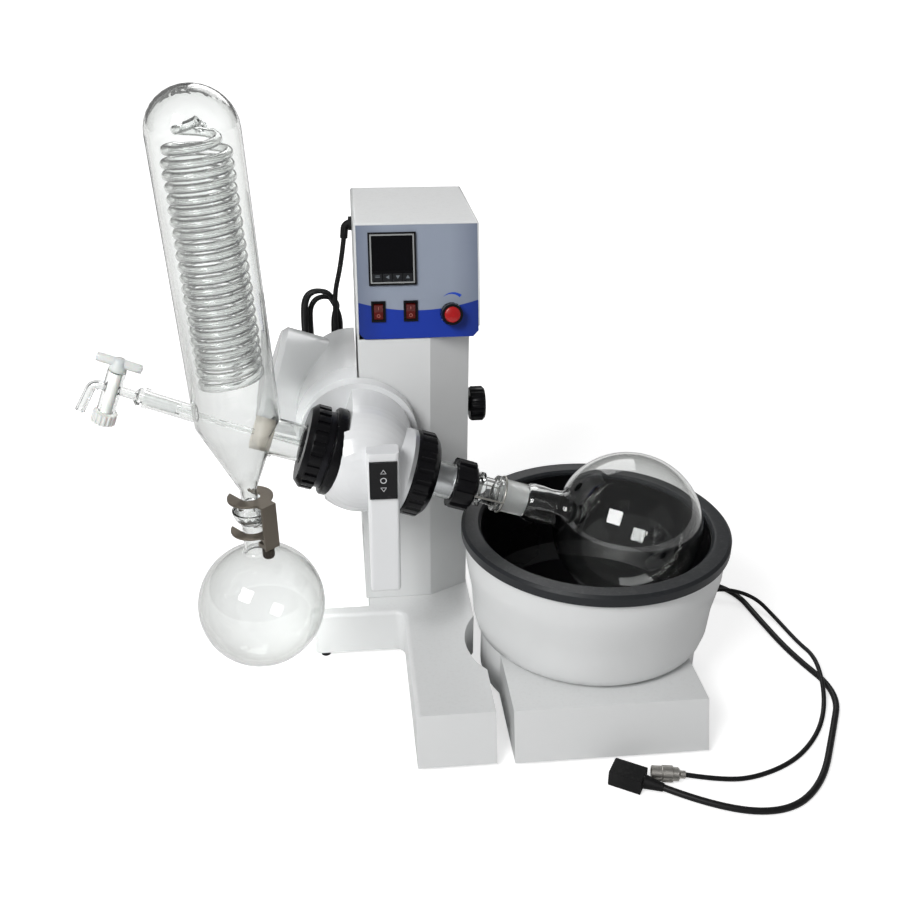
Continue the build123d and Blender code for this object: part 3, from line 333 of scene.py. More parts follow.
DOWN, LEFT, BACK = Vector((0, 0, -1)), Vector((-1, 0, 0)), Vector((0, 1, 0))
hank_x, hank_y = -51.1, 256
connector = mesh_piece("folded_lead_connector", "base", "rubber", black_rubber)
shape = bmesh.new()
ribs = [(3.2, 0)]
for i in range(5):
    wider, along = 0.7 * i, 3.6 * i
    ribs += [(4.0 + wider, along + 1), (4.6 + wider, along + 2), (4.6 + wider, along + 3.4),
             (3.9 + wider, along + 4)]
lathe(shape, [(0, 0), *ribs, (7.6, 20), (7.6, 23)], at(hank_x, hank_y, 267.4), DOWN, LEFT, 32)
close(shape, connector)
shape = bmesh.new()
bmesh.ops.create_cube(shape, size=1)
bmesh.ops.scale(shape, vec=(0.023, 0.0166, 0.033), verts=shape.verts)
bmesh.ops.translate(shape, vec=at(hank_x, hank_y, 230.5), verts=shape.verts)
bmesh.ops.bevel(shape, geom=shape.edges[:], offset=0.0022, segments=3, profile=0.5, affect="EDGES")
head_end = mesh_piece("folded_lead_socket", "base", "rubber", black_rubber)
close(shape, head_end)
tie = mesh_piece("lead_tie", "base", "black_plastic", black_moulding)
shape = bmesh.new()
tie_points = 40
for z in (300.5, 306.5):
    for inset in (0.0, 0.9):
        for i in range(tie_points):
            turn = 2 * pi * i / tie_points
            x = hank_x + (21.6 - inset) * abs(cos(turn)) ** 0.5 * (1 if cos(turn) > 0 else -1)
            y = 248 + (16.2 - inset) * abs(sin(turn)) ** 0.5 * (1 if sin(turn) > 0 else -1)
            shape.verts.new(at(x, y, z))
shape.verts.ensure_lookup_table()
loops = [list(shape.verts)[k * tie_points:(k + 1) * tie_points] for k in range(4)]
for a, b in ((0, 1), (2, 3), (0, 2), (1, 3)):
    for i in range(tie_points):
        j = (i + 1) % tie_points
        shape.faces.new([loops[a][i], loops[a][j], loops[b][j], loops[b][i]])
close(shape, tie)
dress(black_rubber, "box_relief")

# Base: a low box under the column with a leg to the front and a thin wing to the left, all
# bent sheet in white powder coat with rounded edges, on small black rubber feet.
dress(white_paint, "base_shell", "column_cover")
soften(1.2, "base_shell")
soften(0.8, "column_cover")
dress(black_rubber, "rubber_feet", "stand_feet")

# Column: it hides the lift's two ground rods, the screw and the lift motor. The slot on its
# left lets the carriage's arm through, and a black knob on its right locks the height.
dress(steel, "lift_frame", "lift_motor", "lift_screw")
dress(brass, "lift_bushes")
dress(black_moulding, "lock_knob")
soften(0.8, "lock_knob")

# Carriage: a white drum beside the column with the drive motor's sloping housing behind it,
# both glossy paint that shows soft lamp reflections.
dress(white_moulding, "carriage_housing", "motor_housing", "head_housing", "handle")
smooth("motor_housing")
soften(0.8, "handle")
dress(steel, "drive_motor", "head_bearings", "pinion_shaft", "spindle")
dress(brass, "crown_gear")

# Head: a white dome across the rotating axis, a black flange and castellated ring nut on the
# condenser's side, a machined ring and a fluted black cap on the flask's side.
dress(black_moulding, "ring_nut", "head_collars", "release_nut")
soften(0.5, "ring_nut", "head_collars", "release_nut")
tree = alloy.node_tree
ring_tone = node(tree, "ShaderNodeTexCoord")
past_head = node(tree, "ShaderNodeVectorMath", operation="SUBTRACT")
past_head.inputs[1].default_value = at(-12, 0, 279)
along_axis = node(tree, "ShaderNodeSeparateXYZ")
flask_side = node(tree, "ShaderNodeMapRange", in_1=-0.001, in_2=0.001)
two_tones = node(tree, "ShaderNodeMix", data_type="RGBA")
two_tones.inputs[6].default_value = (0.03, 0.03, 0.034, 1)
two_tones.inputs[7].default_value = (0.7, 0.71, 0.72, 1)
tree.links.new(ring_tone.outputs["Object"], past_head.inputs[0])
tree.links.new(past_head.outputs[0], along_axis.inputs[0])
tree.links.new(along_axis.outputs["X"], flask_side.inputs[0])
tree.links.new(flask_side.outputs[0], two_tones.inputs[0])
ring_skin = next(n for n in tree.nodes if n.type == "GROUP")
tree.links.new(two_tones.outputs[2], ring_skin.inputs["Color"])
dress(alloy, "metal_rings")

# Lift rocker: a black rocker in the handle's face with white marks for up, stop and down.
# The marks are thin inlays on its two slopes.
dress(black_moulding, "lift_rocker")
mark_white = finish_of("printed_white", (0.75, 0.76, 0.78), tone=0.1, gloss=0.45, grain=3000.0, relief=0.05)
marks = mesh_piece("rocker_marks", "lift_rocker", "white_plastic", mark_white)


def outline(shape, points, width, frame_of):
    """A closed line of that width through flat points, laid on a surface."""
    count = len(points)
    middle = Vector((sum(p[0] for p in points) / count, sum(p[1] for p in points) / count))
    inner, outer = [], []
    for p in points:
        away = Vector(p) - middle
        grown = away * (1 + width / away.length)
        inner.append(shape.verts.new(frame_of(*(middle + away))))
        outer.append(shape.verts.new(frame_of(*(middle + grown))))
    for i in range(count):
        j = (i + 1) % count
        shape.faces.new([inner[i], inner[j], outer[j], outer[i]])


def rocker_face(u, v):
    """A point on the lift rocker's face, across and up from its middle."""
    return at(9 + u, -59.86 - 1.4 * abs(v) / 20.2, 283 + v)


shape = bmesh.new()
outline(shape, [(-2.3, 8), (2.3, 8), (0, 11.6)], 0.9, rocker_face)
outline(shape, [(-2.3, -8), (2.3, -8), (0, -11.6)], 0.9, rocker_face)
stop_mark = [(2.4 * cos(radians(15 * i)), 2.4 * sin(radians(15 * i))) for i in range(24)]
outline(shape, stop_mark, 0.8, rocker_face)
close(shape, marks, False)

# Glassware: clear borosilicate with drawn and ground parts. The taper joints are ground, so
# they scatter. The walls are clear, with painted shade in their colour where they turn away from the eye.
def glass_of(name, ior=1.473, tint=(0.97, 0.98, 0.975), rough=0.0):
    """A clear transmitting finish with a trace of handling marks."""
    made = bpy.data.materials.new(name)
    made.use_nodes = True
    tree = made.node_tree
    bsdf = tree.nodes["Principled BSDF"]
    # Painted shade: the glass colour turns grey where its walls turn away from the eye, to draw its edges.
    turning = node(tree, "ShaderNodeLayerWeight", in_Blend=0.22)
    painted_edge_shade = node(tree, "ShaderNodeMix", data_type="RGBA")
    painted_edge_shade.inputs[6].default_value = (*tint, 1)
    painted_edge_shade.inputs[7].default_value = (0.34, 0.34, 0.32, 1)
    tree.links.new(turning.outputs["Facing"], painted_edge_shade.inputs[0])
    tree.links.new(painted_edge_shade.outputs[2], bsdf.inputs["Base Color"])
    bsdf.inputs["Transmission Weight"].default_value = 1.0
    bsdf.inputs["IOR"].default_value = ior
    prints = node(tree, "ShaderNodeTexNoise", in_Scale=38.0, in_Detail=5.0)
    where = node(tree, "ShaderNodeTexCoord")
    tree.links.new(where.outputs["Object"], prints.inputs["Vector"])
    haze = node(tree, "ShaderNodeMapRange", in_1=0.5, in_2=0.8, in_3=rough, in_4=rough + 0.04)
    tree.links.new(prints.outputs["Fac"], haze.inputs[0])
    tree.links.new(haze.outputs[0], bsdf.inputs["Roughness"])
    ripple = node(tree, "ShaderNodeBump", in_Strength=0.07, in_Distance=0.0008)
    waves = node(tree, "ShaderNodeTexNoise", in_Scale=22.0, in_Detail=1.0)
    tree.links.new(where.outputs["Object"], waves.inputs["Vector"])
    tree.links.new(waves.outputs["Fac"], ripple.inputs["Height"])
    tree.links.new(ripple.outputs[0], bsdf.inputs["Normal"])
    rays = node(tree, "ShaderNodeLightPath")
    clear = node(tree, "ShaderNodeBsdfTransparent")
    clear.inputs["Color"].default_value = (0.985, 0.988, 0.985, 1)
    lets_light_in = node(tree, "ShaderNodeMixShader")
    tree.links.new(rays.outputs["Is Shadow Ray"], lets_light_in.inputs[0])
    tree.links.new(bsdf.outputs[0], lets_light_in.inputs[1])
    tree.links.new(clear.outputs[0], lets_light_in.inputs[2])
    tree.links.new(lets_light_in.outputs[0], tree.nodes["Material Output"].inputs["Surface"])
    return made, tree, bsdf, where, haze


def ground_between(parts_of, origin, axis, low, high, scatter=0.42):
    """Grinds a glass finish between two distances along an axis, in millimetres."""
    made, tree, bsdf, where, haze = parts_of
    offset = node(tree, "ShaderNodeVectorMath", operation="SUBTRACT")
    offset.inputs[1].default_value = origin
    along = node(tree, "ShaderNodeVectorMath", operation="DOT_PRODUCT")
    along.inputs[1].default_value = axis
    tree.links.new(where.outputs["Object"], offset.inputs[0])
    tree.links.new(offset.outputs[0], along.inputs[0])
    after = node(tree, "ShaderNodeMapRange", in_1=low / 1000 - 0.0003, in_2=low / 1000 + 0.0003)
    before = node(tree, "ShaderNodeMapRange", in_1=high / 1000 + 0.0003, in_2=high / 1000 - 0.0003)
    tree.links.new(along.outputs["Value"], after.inputs[0])
    tree.links.new(along.outputs["Value"], before.inputs[0])
    both = node(tree, "ShaderNodeMath", operation="MULTIPLY")
    tree.links.new(after.outputs[0], both.inputs[0])
    tree.links.new(before.outputs[0], both.inputs[1])
    grit = node(tree, "ShaderNodeMath", operation="MULTIPLY_ADD", in_1=scatter, use_clamp=True)
    tree.links.new(both.outputs[0], grit.inputs[0])
    tree.links.new(haze.outputs[0], grit.inputs[2])
    tree.links.new(grit.outputs[0], bsdf.inputs["Roughness"])
    return made


def circle(radius, middle, angles):
    """Profile points on a circle round a middle on the axis, from the axis in degrees."""
    return [(radius * sin(radians(a)), middle + radius * cos(radians(a))) for a in angles]


slope = radians(18.5)
pivot = at(-12, 0, 279)
axis = Vector((cos(slope), 0, -sin(slope)))
ball_at = 307.7
clear_glass = glass_of("clear_glass")[0]
flask_glass = ground_between(glass_of("flask_glass"), pivot, axis, 158, 183)
duct_glass = ground_between(glass_of("duct_glass"), pivot, axis, 155, 184)
clear_moulding = glass_of("clear_moulding", ior=1.46, tint=(0.93, 0.95, 0.95), rough=0.12)[0]
flask = mesh_piece("round_flask", "spindle", "clear_glass", flask_glass)
shape = bmesh.new()
neck_out = [(14.6, 149), (18.6, 149), (19.3, 149.6), (19.3, 153.4), (18.6, 154), (17.9, 155), (17.6, 157),
            (17.6, 183), (18.2, 185.5), (19.8, 187.5), (20.6, 190), (20.6, 199), (20.0, 205), (19.6, 212),
            (19.7, 220), (20.2, 224)]
neck_in = [(17.4, 222), (17.0, 212), (17.1, 196), (16.6, 190), (14.4, 185), (13.2, 184), (14.6, 153)]
ball_out = circle(83, ball_at, [164.5 - 164.5 * i / 60 for i in range(60)])
ball_in = circle(80.5, ball_at, [166.5 * i / 60 for i in range(1, 60)])
lathe(shape, [*neck_out, *ball_out, (0, ball_at + 83)], pivot, axis, BACK, 96)
lathe(shape, [(0, ball_at + 80.5), *ball_in, *neck_in, (14.6, 149)], pivot, axis, BACK, 96)
bmesh.ops.remove_doubles(shape, verts=shape.verts, dist=0.00002)
close(shape, flask)
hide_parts("evaporating_flask")
dress(duct_glass, "steam_duct")
dress(clear_moulding, "spindle_sleeve")
dress(clear_glass, "condenser_jacket")
smooth("steam_duct", "condenser_jacket", "spindle_sleeve")
smoked_metal = finish_of("smoked_metal", (0.23, 0.2, 0.165), tone=0.3, gloss=0.26, smears=0.2, grain=1800.0,
                         relief=0.2, Metallic=1.0)
dark_metal = finish_of("dark_metal", (0.08, 0.07, 0.06), tone=0.3, gloss=0.24, smears=0.2, grain=1800.0,
                       relief=0.2, Metallic=1.0)
dress(bright_metal, "wire_spring")
dress(smoked_metal, "joint_clamp")
dress(dark_metal, "clamp_screw")
soften(0.4, "joint_clamp")
white_polymer = finish_of("white_polymer", (0.8, 0.8, 0.78), tone=0.05, gloss=0.36, smears=0.1,
                          grain=2200.0, relief=0.08, Subsurface_Weight=0.15)
dress(white_polymer, "stopcock_plug", "vacuum_seal")
soften(0.5, "stopcock_plug")

# Stopcock: its glass body with the bent outlet, in a ground joint on the condenser's side arm,
# and a white plug whose round T handle stands square to the arm.
arm = Vector((-cos(radians(21.4)), 0, sin(radians(21.4))))
condenser_foot = pivot - axis * 0.1286
lean = radians(3.4)
up = Vector((-sin(lean), 0, cos(lean)))
cock_glass = ground_between(glass_of("cock_glass"), condenser_foot, arm, 64, 97)
dress(cock_glass, "stopcock_body")
cock_center = condenser_foot + arm * 0.128
plug_up = Vector((arm.z, 0, -arm.x))
grip = mesh_piece("plug_grip", "stopcock_plug", "white_polymer", white_polymer)
shape = bmesh.new()
hub = [(0, 20.6), (8.4, 20.6), (8.8, 21.6), (8.3, 24.2), (7.2, 26.0), (6.6, 30.5), (5.0, 33.2), (0, 34.0)]
lathe(shape, hub, cock_center, plug_up, BACK, 32)
round_end = circle(4.7, 18, range(0, 91, 15))
handle_bar = [(r, -s) for r, s in round_end] + [(r, s) for r, s in reversed(round_end)]
lathe(shape, handle_bar, cock_center + plug_up * 0.029, arm, BACK, 24)
bmesh.ops.remove_doubles(shape, verts=shape.verts, dist=0.00002)
close(shape, grip)

# Receiving flask: a round litre flask with a short neck, whose ground cup hangs on the
# condenser's ball and is held there by a fork clamp.
bulb = mesh_piece("round_receiver", "head", "clear_glass", clear_glass)
hang = Vector((-sin(radians(1.4)), 0, cos(radians(1.4))))
ball_center = condenser_foot - up * 0.094
shape = bmesh.new()
cup_out = [(20.3 * cos(radians(a)), -20.3 * sin(radians(a))) for a in range(4, 50, 4)]
cup_in = [(17.8 * cos(radians(a)), -17.8 * sin(radians(a))) for a in range(58, 2, -4)]
bulb_at = -119.7
round_out = circle(69, bulb_at, [10.5 + 169.5 * i / 50 for i in range(50)])
round_in = circle(66.5, bulb_at, [171 - 162 * i / 50 for i in range(51)])
short_neck = [(12.6, -18), (12.0, -24), (12.0, -46), (12.2, -50)]
neck_bore = [(9.6, -48), (9.5, -24), (9.5, -17)]
outside = [(17.8, -1), (20.3, -1), *cup_out, *short_neck, *round_out, (0, bulb_at - 69)]
inside = [(0, bulb_at - 66.5), *round_in, *neck_bore, *cup_in, (17.8, -1)]
lathe(shape, outside, ball_center, hang, BACK, 80)
lathe(shape, inside, ball_center, hang, BACK, 80)
bmesh.ops.remove_doubles(shape, verts=shape.verts, dist=0.00002)
close(shape, bulb)
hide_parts("receiving_flask")

# Ground socket in the condenser's side neck: a milky band that scatters the light where the
# neck meets the body.
ground_glass = finish_of("ground_glass", (0.83, 0.79, 0.72), tone=0.1, gloss=0.45, smears=0.1, grain=1500.0,
                         relief=0.2, Transmission_Weight=0.55, IOR=1.473)
socket = mesh_piece("ground_socket", "head", "clear_glass", ground_glass)
shape = bmesh.new()
lathe(shape, [(16.2, -114), (16.9, -114), (16.9, -94), (16.2, -94), (16.2, -114)], pivot, axis, BACK, 64)
bmesh.ops.remove_doubles(shape, verts=shape.verts, dist=0.00002)
close(shape, socket)

# Condenser coil: one glass tube in 21 turns between the jacket's wall and its middle, with a
# smaller loop on top from which it goes back out to the upper nozzle.
side = Vector((cos(lean), 0, sin(lean)))


def in_condenser(x, y, z):
    """A point in the condenser's own millimetres."""
    return condenser_foot + (side * x + BACK * y + up * z) / 1000


def glass_tube(shape, line, outer, inner, count=14):
    """A hollow tube along a line of points, its wall facing out and in."""
    rings = []
    normal = None
    for i, here in enumerate(line):
        ahead = (line[min(i + 1, len(line) - 1)] - line[max(i - 1, 0)]).normalized()
        if normal is None:
            normal = ahead.orthogonal().normalized()
        normal = (normal - ahead * normal.dot(ahead)).normalized()
        other = ahead.cross(normal)
        spokes = [normal * cos(2 * pi * k / count) + other * sin(2 * pi * k / count) for k in range(count)]
        rings.append([
            [shape.verts.new(here + spoke * radius / 1000) for spoke in spokes]
            for radius in (outer, inner)
        ])
    for (o1, i1), (o2, i2) in zip(rings, rings[1:]):
        for k in range(count):
            j = (k + 1) % count
            shape.faces.new([o1[k], o1[j], o2[j], o2[k]])
            shape.faces.new([i1[k], i2[k], i2[j], i1[j]])
    for o, i in (rings[0], rings[-1]):
        for k in range(count):
            j = (k + 1) % count
            shape.faces.new([o[k], o[j], i[j], i[k]])


coil_line = [in_condenser(0, 40.3, 36), in_condenser(0, 36, 36), in_condenser(-1, 32, 37),
             in_condenser(-3, 29.6, 41)]
steps, coil_radius, pitch_of_turns = 28, 29.0, 10.6
coil_steps = int(21.15 * steps)
for i in range(4, coil_steps):
    turn = pi / 2 + 2 * pi * i / steps
    wobble = 0.25 * sin(1.7 * i / steps) + 0.2 * sin(3.1 * i / steps)
    rise = 48 + (54.6 - 48) * min(1, i / 14) + pitch_of_turns * max(0, i - 8) / steps
    reach = coil_radius + wobble
    coil_line.append(in_condenser(reach * cos(turn), reach * sin(turn), rise + wobble))
last = pi / 2 + 2 * pi * (coil_steps - 1) / steps
for i in range(1, 40):
    turn = last + 2 * pi * i / 26
    reach = coil_radius - 18.5 * i / 39
    coil_line.append(in_condenser(reach * cos(turn), reach * sin(turn), 277 + 25 * (i / 39) ** 1.4))
coil = mesh_piece("glass_coil", "head", "clear_glass", clear_glass)
shape = bmesh.new()
glass_tube(shape, coil_line, 4.4, 3.2)
close(shape, coil)
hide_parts("condenser_coil")

# Control box: a white wedge with a printed film on its sloping front, grey above and blue
# below with a curved border, a display, two lit rockers and the speed knob.
dress(white_paint, "control_housing")
soften(0.8, "control_housing")
lean_rise, lean_back = 106.0, 25.0
panel_length = sqrt(lean_rise**2 + lean_back**2)
panel_up = Vector((0, lean_back, lean_rise)) / panel_length
panel_out = Vector((0, -lean_rise, lean_back)) / panel_length
ACROSS = Vector((1, 0, 0))


def on_panel(u, v, w=0.0):
    """A point across, up the slope and out of the panel, in millimetres."""
    return at(u, 70, 396) + (panel_up * v + panel_out * w) / 1000


film = finish_of("printed_film", (0.25, 0.29, 0.36), tone=0.04, gloss=0.28, smears=0.12, grain=1500.0,
                 relief=0.04, dust=0.02)
tree = film.node_tree
coat = next(n for n in tree.nodes if n.type == "GROUP")
spot = node(tree, "ShaderNodeTexCoord")
shifted = node(tree, "ShaderNodeVectorMath", operation="SUBTRACT")
shifted.inputs[1].default_value = on_panel(55.5, 0)
tree.links.new(spot.outputs["Object"], shifted.inputs[0])
climb = node(tree, "ShaderNodeVectorMath", operation="DOT_PRODUCT")
climb.inputs[1].default_value = panel_up * 1000
tree.links.new(shifted.outputs[0], climb.inputs[0])
parted = node(tree, "ShaderNodeSeparateXYZ")
tree.links.new(shifted.outputs[0], parted.inputs[0])
wide = node(tree, "ShaderNodeMath", operation="MULTIPLY", in_1=1000.0)
tree.links.new(parted.outputs["X"], wide.inputs[0])
square = node(tree, "ShaderNodeMath", operation="MULTIPLY")
tree.links.new(wide.outputs[0], square.inputs[0])
tree.links.new(wide.outputs[0], square.inputs[1])
border = node(tree, "ShaderNodeMath", operation="MULTIPLY_ADD", in_1=-0.002354)
tree.links.new(square.outputs[0], border.inputs[0])
tree.links.new(climb.outputs["Value"], border.inputs[2])
grey_part = node(tree, "ShaderNodeMapRange", in_1=18.2, in_2=18.6)
tree.links.new(border.outputs[0], grey_part.inputs[0])
ends = node(tree, "ShaderNodeMapRange", in_1=1200.0, in_2=4400.0)
tree.links.new(square.outputs[0], ends.inputs[0])
blue = node(tree, "ShaderNodeMix", data_type="RGBA")
blue.inputs[6].default_value = (0.005, 0.035, 0.36, 1)
blue.inputs[7].default_value = (0.008, 0.028, 0.2, 1)
tree.links.new(ends.outputs[0], blue.inputs[0])
grey = node(tree, "ShaderNodeMix", data_type="RGBA")
grey.inputs[6].default_value = (0.29, 0.33, 0.41, 1)
grey.inputs[7].default_value = (0.17, 0.2, 0.27, 1)
tree.links.new(ends.outputs[0], grey.inputs[0])
printed = node(tree, "ShaderNodeMix", data_type="RGBA")
tree.links.new(grey_part.outputs[0], printed.inputs[0])
tree.links.new(blue.outputs[2], printed.inputs[6])
tree.links.new(grey.outputs[2], printed.inputs[7])
tree.links.new(printed.outputs[2], coat.inputs["Color"])
dress(film, "front_panel")

# Panel pieces: the display's window, its pale inner rim and the key row, the rockers' red
# lenses with their marks, and the knob's red cap with its pointer dot.
window = finish_of("display_window", (0.002, 0.002, 0.003), tone=0.1, gloss=0.1, smears=0.08, grain=3000.0,
                   relief=0.0, dust=0.01, Specular_IOR_Level=0.25)
key_face = finish_of("key_face", (0.008, 0.009, 0.011), tone=0.2, gloss=0.4, grain=2500.0, relief=0.1,
                     Specular_IOR_Level=0.3)
rim_print = finish_of("pale_rim", (0.3, 0.31, 0.31), tone=0.1, gloss=0.35, grain=2500.0, relief=0.05)
lens = finish_of("red_lens", (0.065, 0.003, 0.002), tone=0.15, gloss=0.22, grain=2500.0, relief=0.03,
                 Emission_Color=(1.0, 0.04, 0.02, 1), Emission_Strength=0.03)
red_cap = finish_of("red_cap", (0.42, 0.004, 0.006), tone=0.06, gloss=0.22, grain=2000.0, relief=0.04,
                    Coat_Weight=0.3)
blue_print = finish_of("blue_print", (0.01, 0.06, 0.5), tone=0.05, gloss=0.35, grain=2500.0, relief=0.03)
green_board = finish_of("circuit_board", (0.02, 0.12, 0.05), tone=0.3, gloss=0.35, grain=900.0, relief=0.3)
dress(black_moulding, "panel_frames")
dress(window, "display_screen")
dress(key_face, "display_key_1", "display_key_2", "display_key_3", "display_key_4")
dress(lens, "power_rocker_1", "power_rocker_2")
dress(black_moulding, "speed_knob")
dress(green_board, "control_boards")
cap = mesh_piece("knob_cap", "speed_knob", "red_plastic", red_cap)
shape = bmesh.new()
cap_profile = [(0, 11.5), (8.2, 11.5), (8.4, 13.0), (8.1, 13.9), (7.2, 14.4), (0, 14.8)]
lathe(shape, cap_profile, on_panel(90, 14), panel_out, ACROSS, 40)
close(shape, cap)
dot = mesh_piece("knob_pointer", "speed_knob", "white_plastic", mark_white)
shape = bmesh.new()
dot_at = (90 - 11.0 * sin(radians(60)), 14 - 11.0 * cos(radians(60)))
lathe(shape, [(0, 1.0), (1.1, 1.2), (1.1, 4.6), (0, 4.8)], on_panel(*dot_at), panel_out, ACROSS, 16)
close(shape, dot)
arc = mesh_piece("speed_arc", "base", "panel_film", blue_print)
shape = bmesh.new()
upper, lower = [], []
for i in range(25):
    share = i / 24
    turn = radians(130 - 80 * share)
    half = 0.15 + 1.5 * share
    for line, radius in ((upper, 14.0 + half), (lower, 14.0 - half)):
        line.append(shape.verts.new(on_panel(91.2 + radius * cos(turn), 21.4 + radius * sin(turn), 0.06)))
for i in range(24):
    shape.faces.new([lower[i], lower[i + 1], upper[i + 1], upper[i]])
close(shape, arc, False)
rim = mesh_piece("display_rim", "base", "panel_film", rim_print)
shape = bmesh.new()
left, low, right_side, high = 7.4, 48.8, 50.6, 96.2
loops = []
for grow in (0, 1.5):
    corners = [(left - grow, low - grow), (right_side + grow, low - grow),
               (right_side + grow, high + grow), (left - grow, high + grow)]
    loops.append([shape.verts.new(on_panel(u, v, 2.58)) for u, v in corners])
for i in range(4):
    j = (i + 1) % 4
    shape.faces.new([loops[0][i], loops[0][j], loops[1][j], loops[1][i]])
close(shape, rim, False)


key_print = finish_of("key_print", (0.16, 0.18, 0.2), tone=0.1, gloss=0.4, grain=2500.0, relief=0.03)
first_key, key_pitch, key_level, key_top = 13.25, 10.5, 53.75, 2.36
key_marks = (
    [[(-2.4, -0.35), (2.4, -0.35), (2.4, 0.35), (-2.4, 0.35)],
     [(-2.4, 1.2), (2.4, 1.2), (2.4, 1.8), (-2.4, 1.8)]],
    [[(-2.2, 0), (1.6, -2), (1.6, 2)]],
    [[(-2.1, 1.6), (0, -2), (2.1, 1.6)]],
    [[(-2.1, -1.6), (2.1, -1.6), (0, 2)]],
)
for number, flats in enumerate(key_marks):
    made = mesh_piece(f"key_mark_{number + 1}", f"display_key_{number + 1}", "panel_film", key_print)
    shape = bmesh.new()
    middle = first_key + key_pitch * number
    for flat in flats:
        shape.faces.new([shape.verts.new(on_panel(middle + x, key_level + y, key_top)) for x, y in flat])
    close(shape, made, False)
soft_red = finish_of("lit_mark", (0.34, 0.11, 0.09), tone=0.05, gloss=0.4, grain=2500.0, relief=0.02)
swing = radians(9)


def lever_face(u, x, v):
    """A point on the face of the power rocker at u, across and up from its pivot."""
    height = 2.8 + abs(v) * tan(swing) + 0.05
    along, out_of = v * cos(swing) - height * sin(swing), v * sin(swing) + height * cos(swing)
    return on_panel(u + x, 18 + along, -2 + out_of)


for number, u in enumerate((13, 47)):
    made = mesh_piece(f"power_mark_{number + 1}", f"power_rocker_{number + 1}", "white_plastic", soft_red)
    shape = bmesh.new()
    corners = [(-0.45, 2.2), (0.45, 2.2), (0.45, 5.6), (-0.45, 5.6)]
    shape.faces.new([shape.verts.new(lever_face(u, x, v)) for x, v in corners])
    outer, inner = [
        [shape.verts.new(lever_face(u, radius * cos(radians(20 * i)), -4 + radius * sin(radians(20 * i))))
         for i in range(18)]
        for radius in (1.9, 1.2)
    ]
    for i in range(18):
        j = (i + 1) % 18
        shape.faces.new([inner[i], inner[j], outer[j], outer[i]])
    close(shape, made, False)

# Heating bath: a white painted stand and rounded bowl, a broad satin black rim, and a coated
# steel liner whose black coat is finely speckled.
dress(white_paint, "bath_stand", "bath_bowl")
soften(1.2, "bath_stand")
smooth("bath_bowl")
rim_coat = finish_of("rim_coat", (0.018, 0.02, 0.023), tone=0.2, gloss=0.32, smears=0.12, grain=1200.0,
                     relief=0.15, dust=0.05, wear=0.01, Specular_IOR_Level=0.26)
dress(rim_coat, "bath_rim")
smooth("bath_rim")
liner_coat = finish_of("liner_coat", (0.003, 0.003, 0.0035), tone=0.4, gloss=0.22, smears=0.15,
                       grain=1500.0, relief=0.12, dust=0.01, Specular_IOR_Level=0.3)
dress(liner_coat, "bath_liner")
smooth("bath_liner")
dress(steel, "heater_and_thermostat")

# Studio: a pale bench that keeps the machine's shadow and grows brighter with distance, a white
# room that glass and metal see dimmer, with two darker bands that draw the glass's edges, and
# three soft lamps.
floor_finish = bpy.data.materials.new("bench_top")
floor_finish.use_nodes = True
tree = floor_finish.node_tree
tree.nodes.remove(tree.nodes["Principled BSDF"])
out = tree.nodes["Material Output"]
matte = node(tree, "ShaderNodeBsdfDiffuse")
matte.inputs["Color"].default_value = (0.8, 0.8, 0.8, 1)
glow = node(tree, "ShaderNodeEmission")
both = node(tree, "ShaderNodeAddShader")
rays = node(tree, "ShaderNodeLightPath")
seen = node(tree, "ShaderNodeMath", operation="MAXIMUM")
far_off = node(tree, "ShaderNodeVectorMath", operation="LENGTH")
ground_at = node(tree, "ShaderNodeTexCoord")
farther = node(tree, "ShaderNodeMapRange", in_1=0.7, in_2=1.6, in_3=0.6, in_4=1.0)
through = node(tree, "ShaderNodeMath", operation="MULTIPLY")
clearer = node(tree, "ShaderNodeMapRange", in_1=0.5, in_2=3.0, in_3=0.5, in_4=1.0)
pick = node(tree, "ShaderNodeMixShader")
tree.links.new(rays.outputs["Is Camera Ray"], seen.inputs[0])
tree.links.new(ground_at.outputs["Object"], far_off.inputs[0])
tree.links.new(far_off.outputs["Value"], farther.inputs[0])
tree.links.new(farther.outputs[0], glow.inputs["Strength"])
tree.links.new(rays.outputs["Is Transmission Ray"], through.inputs[0])
tree.links.new(far_off.outputs["Value"], clearer.inputs[0])
tree.links.new(clearer.outputs[0], through.inputs[1])
tree.links.new(through.outputs[0], seen.inputs[1])
tree.links.new(matte.outputs[0], both.inputs[0])
tree.links.new(glow.outputs[0], both.inputs[1])
tree.links.new(seen.outputs[0], pick.inputs[0])
tree.links.new(matte.outputs[0], pick.inputs[1])
tree.links.new(both.outputs[0], pick.inputs[2])
tree.links.new(pick.outputs[0], out.inputs["Surface"])
bench = bpy.data.objects.new("bench", bpy.data.meshes.new("bench"))
shape = bmesh.new()
bmesh.ops.create_grid(shape, x_segments=1, y_segments=1, size=30)
shape.to_mesh(bench.data)
shape.free()
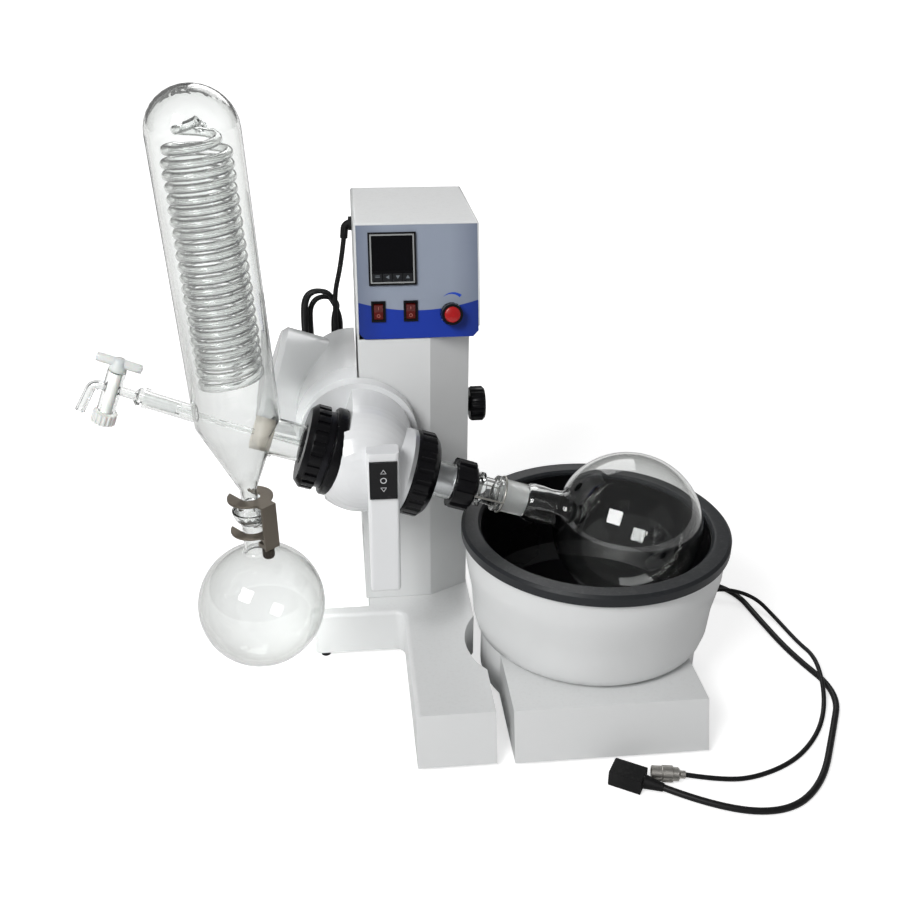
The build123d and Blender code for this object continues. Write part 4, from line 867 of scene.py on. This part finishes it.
bench.data.materials.append(floor_finish)
scene.collection.objects.link(bench)
world = bpy.data.worlds.new("room")
scene.world = world
world.use_nodes = True
tree = world.node_tree
sky = tree.nodes["Background"]
sky.inputs["Color"].default_value = (1, 1, 1, 1)
rays = node(tree, "ShaderNodeLightPath")
compass = node(tree, "ShaderNodeTexCoord")
parts_of = node(tree, "ShaderNodeSeparateXYZ")
tree.links.new(compass.outputs["Generated"], parts_of.inputs[0])
height = node(tree, "ShaderNodeMath", operation="ABSOLUTE")
tree.links.new(parts_of.outputs["X"], height.inputs[0])
bands = node(tree, "ShaderNodeMapRange", in_1=0.66, in_2=0.9, in_3=0.8, in_4=0.3)
tree.links.new(height.outputs[0], bands.inputs[0])
ambient = node(tree, "ShaderNodeMix")
ambient.inputs[2].default_value = 0.24
tree.links.new(rays.outputs["Is Transmission Ray"], ambient.inputs[0])
tree.links.new(bands.outputs[0], ambient.inputs[3])
mirrored = node(tree, "ShaderNodeMix")
mirrored.inputs[3].default_value = 0.2
tree.links.new(rays.outputs["Is Glossy Ray"], mirrored.inputs[0])
tree.links.new(ambient.outputs[0], mirrored.inputs[2])
final = node(tree, "ShaderNodeMix")
final.inputs[3].default_value = 1.0
tree.links.new(rays.outputs["Is Camera Ray"], final.inputs[0])
tree.links.new(mirrored.outputs[0], final.inputs[2])
tree.links.new(final.outputs[0], sky.inputs["Strength"])


def lamp(name, power, size, place_at, target):
    """A soft square lamp that looks at a point, in metres."""
    data = bpy.data.lights.new(name, "AREA")
    data.energy = power
    data.size = size
    made = bpy.data.objects.new(name, data)
    made.location = place_at
    made.rotation_euler = (Vector(target) - Vector(place_at)).to_track_quat("-Z", "Y").to_euler()
    scene.collection.objects.link(made)


lamp("key", 47, 1.0, (-1.2, -1.6, 1.9), (0, 0, 0.25))
lamp("fill", 0.5, 1.2, (1.4, -1.3, 1.2), (0, 0, 0.2))
lamp("back", 10.5, 1.2, (0.2, 1.6, 1.6), (0, 0, 0.2))
scene.view_settings.view_transform = "Standard"
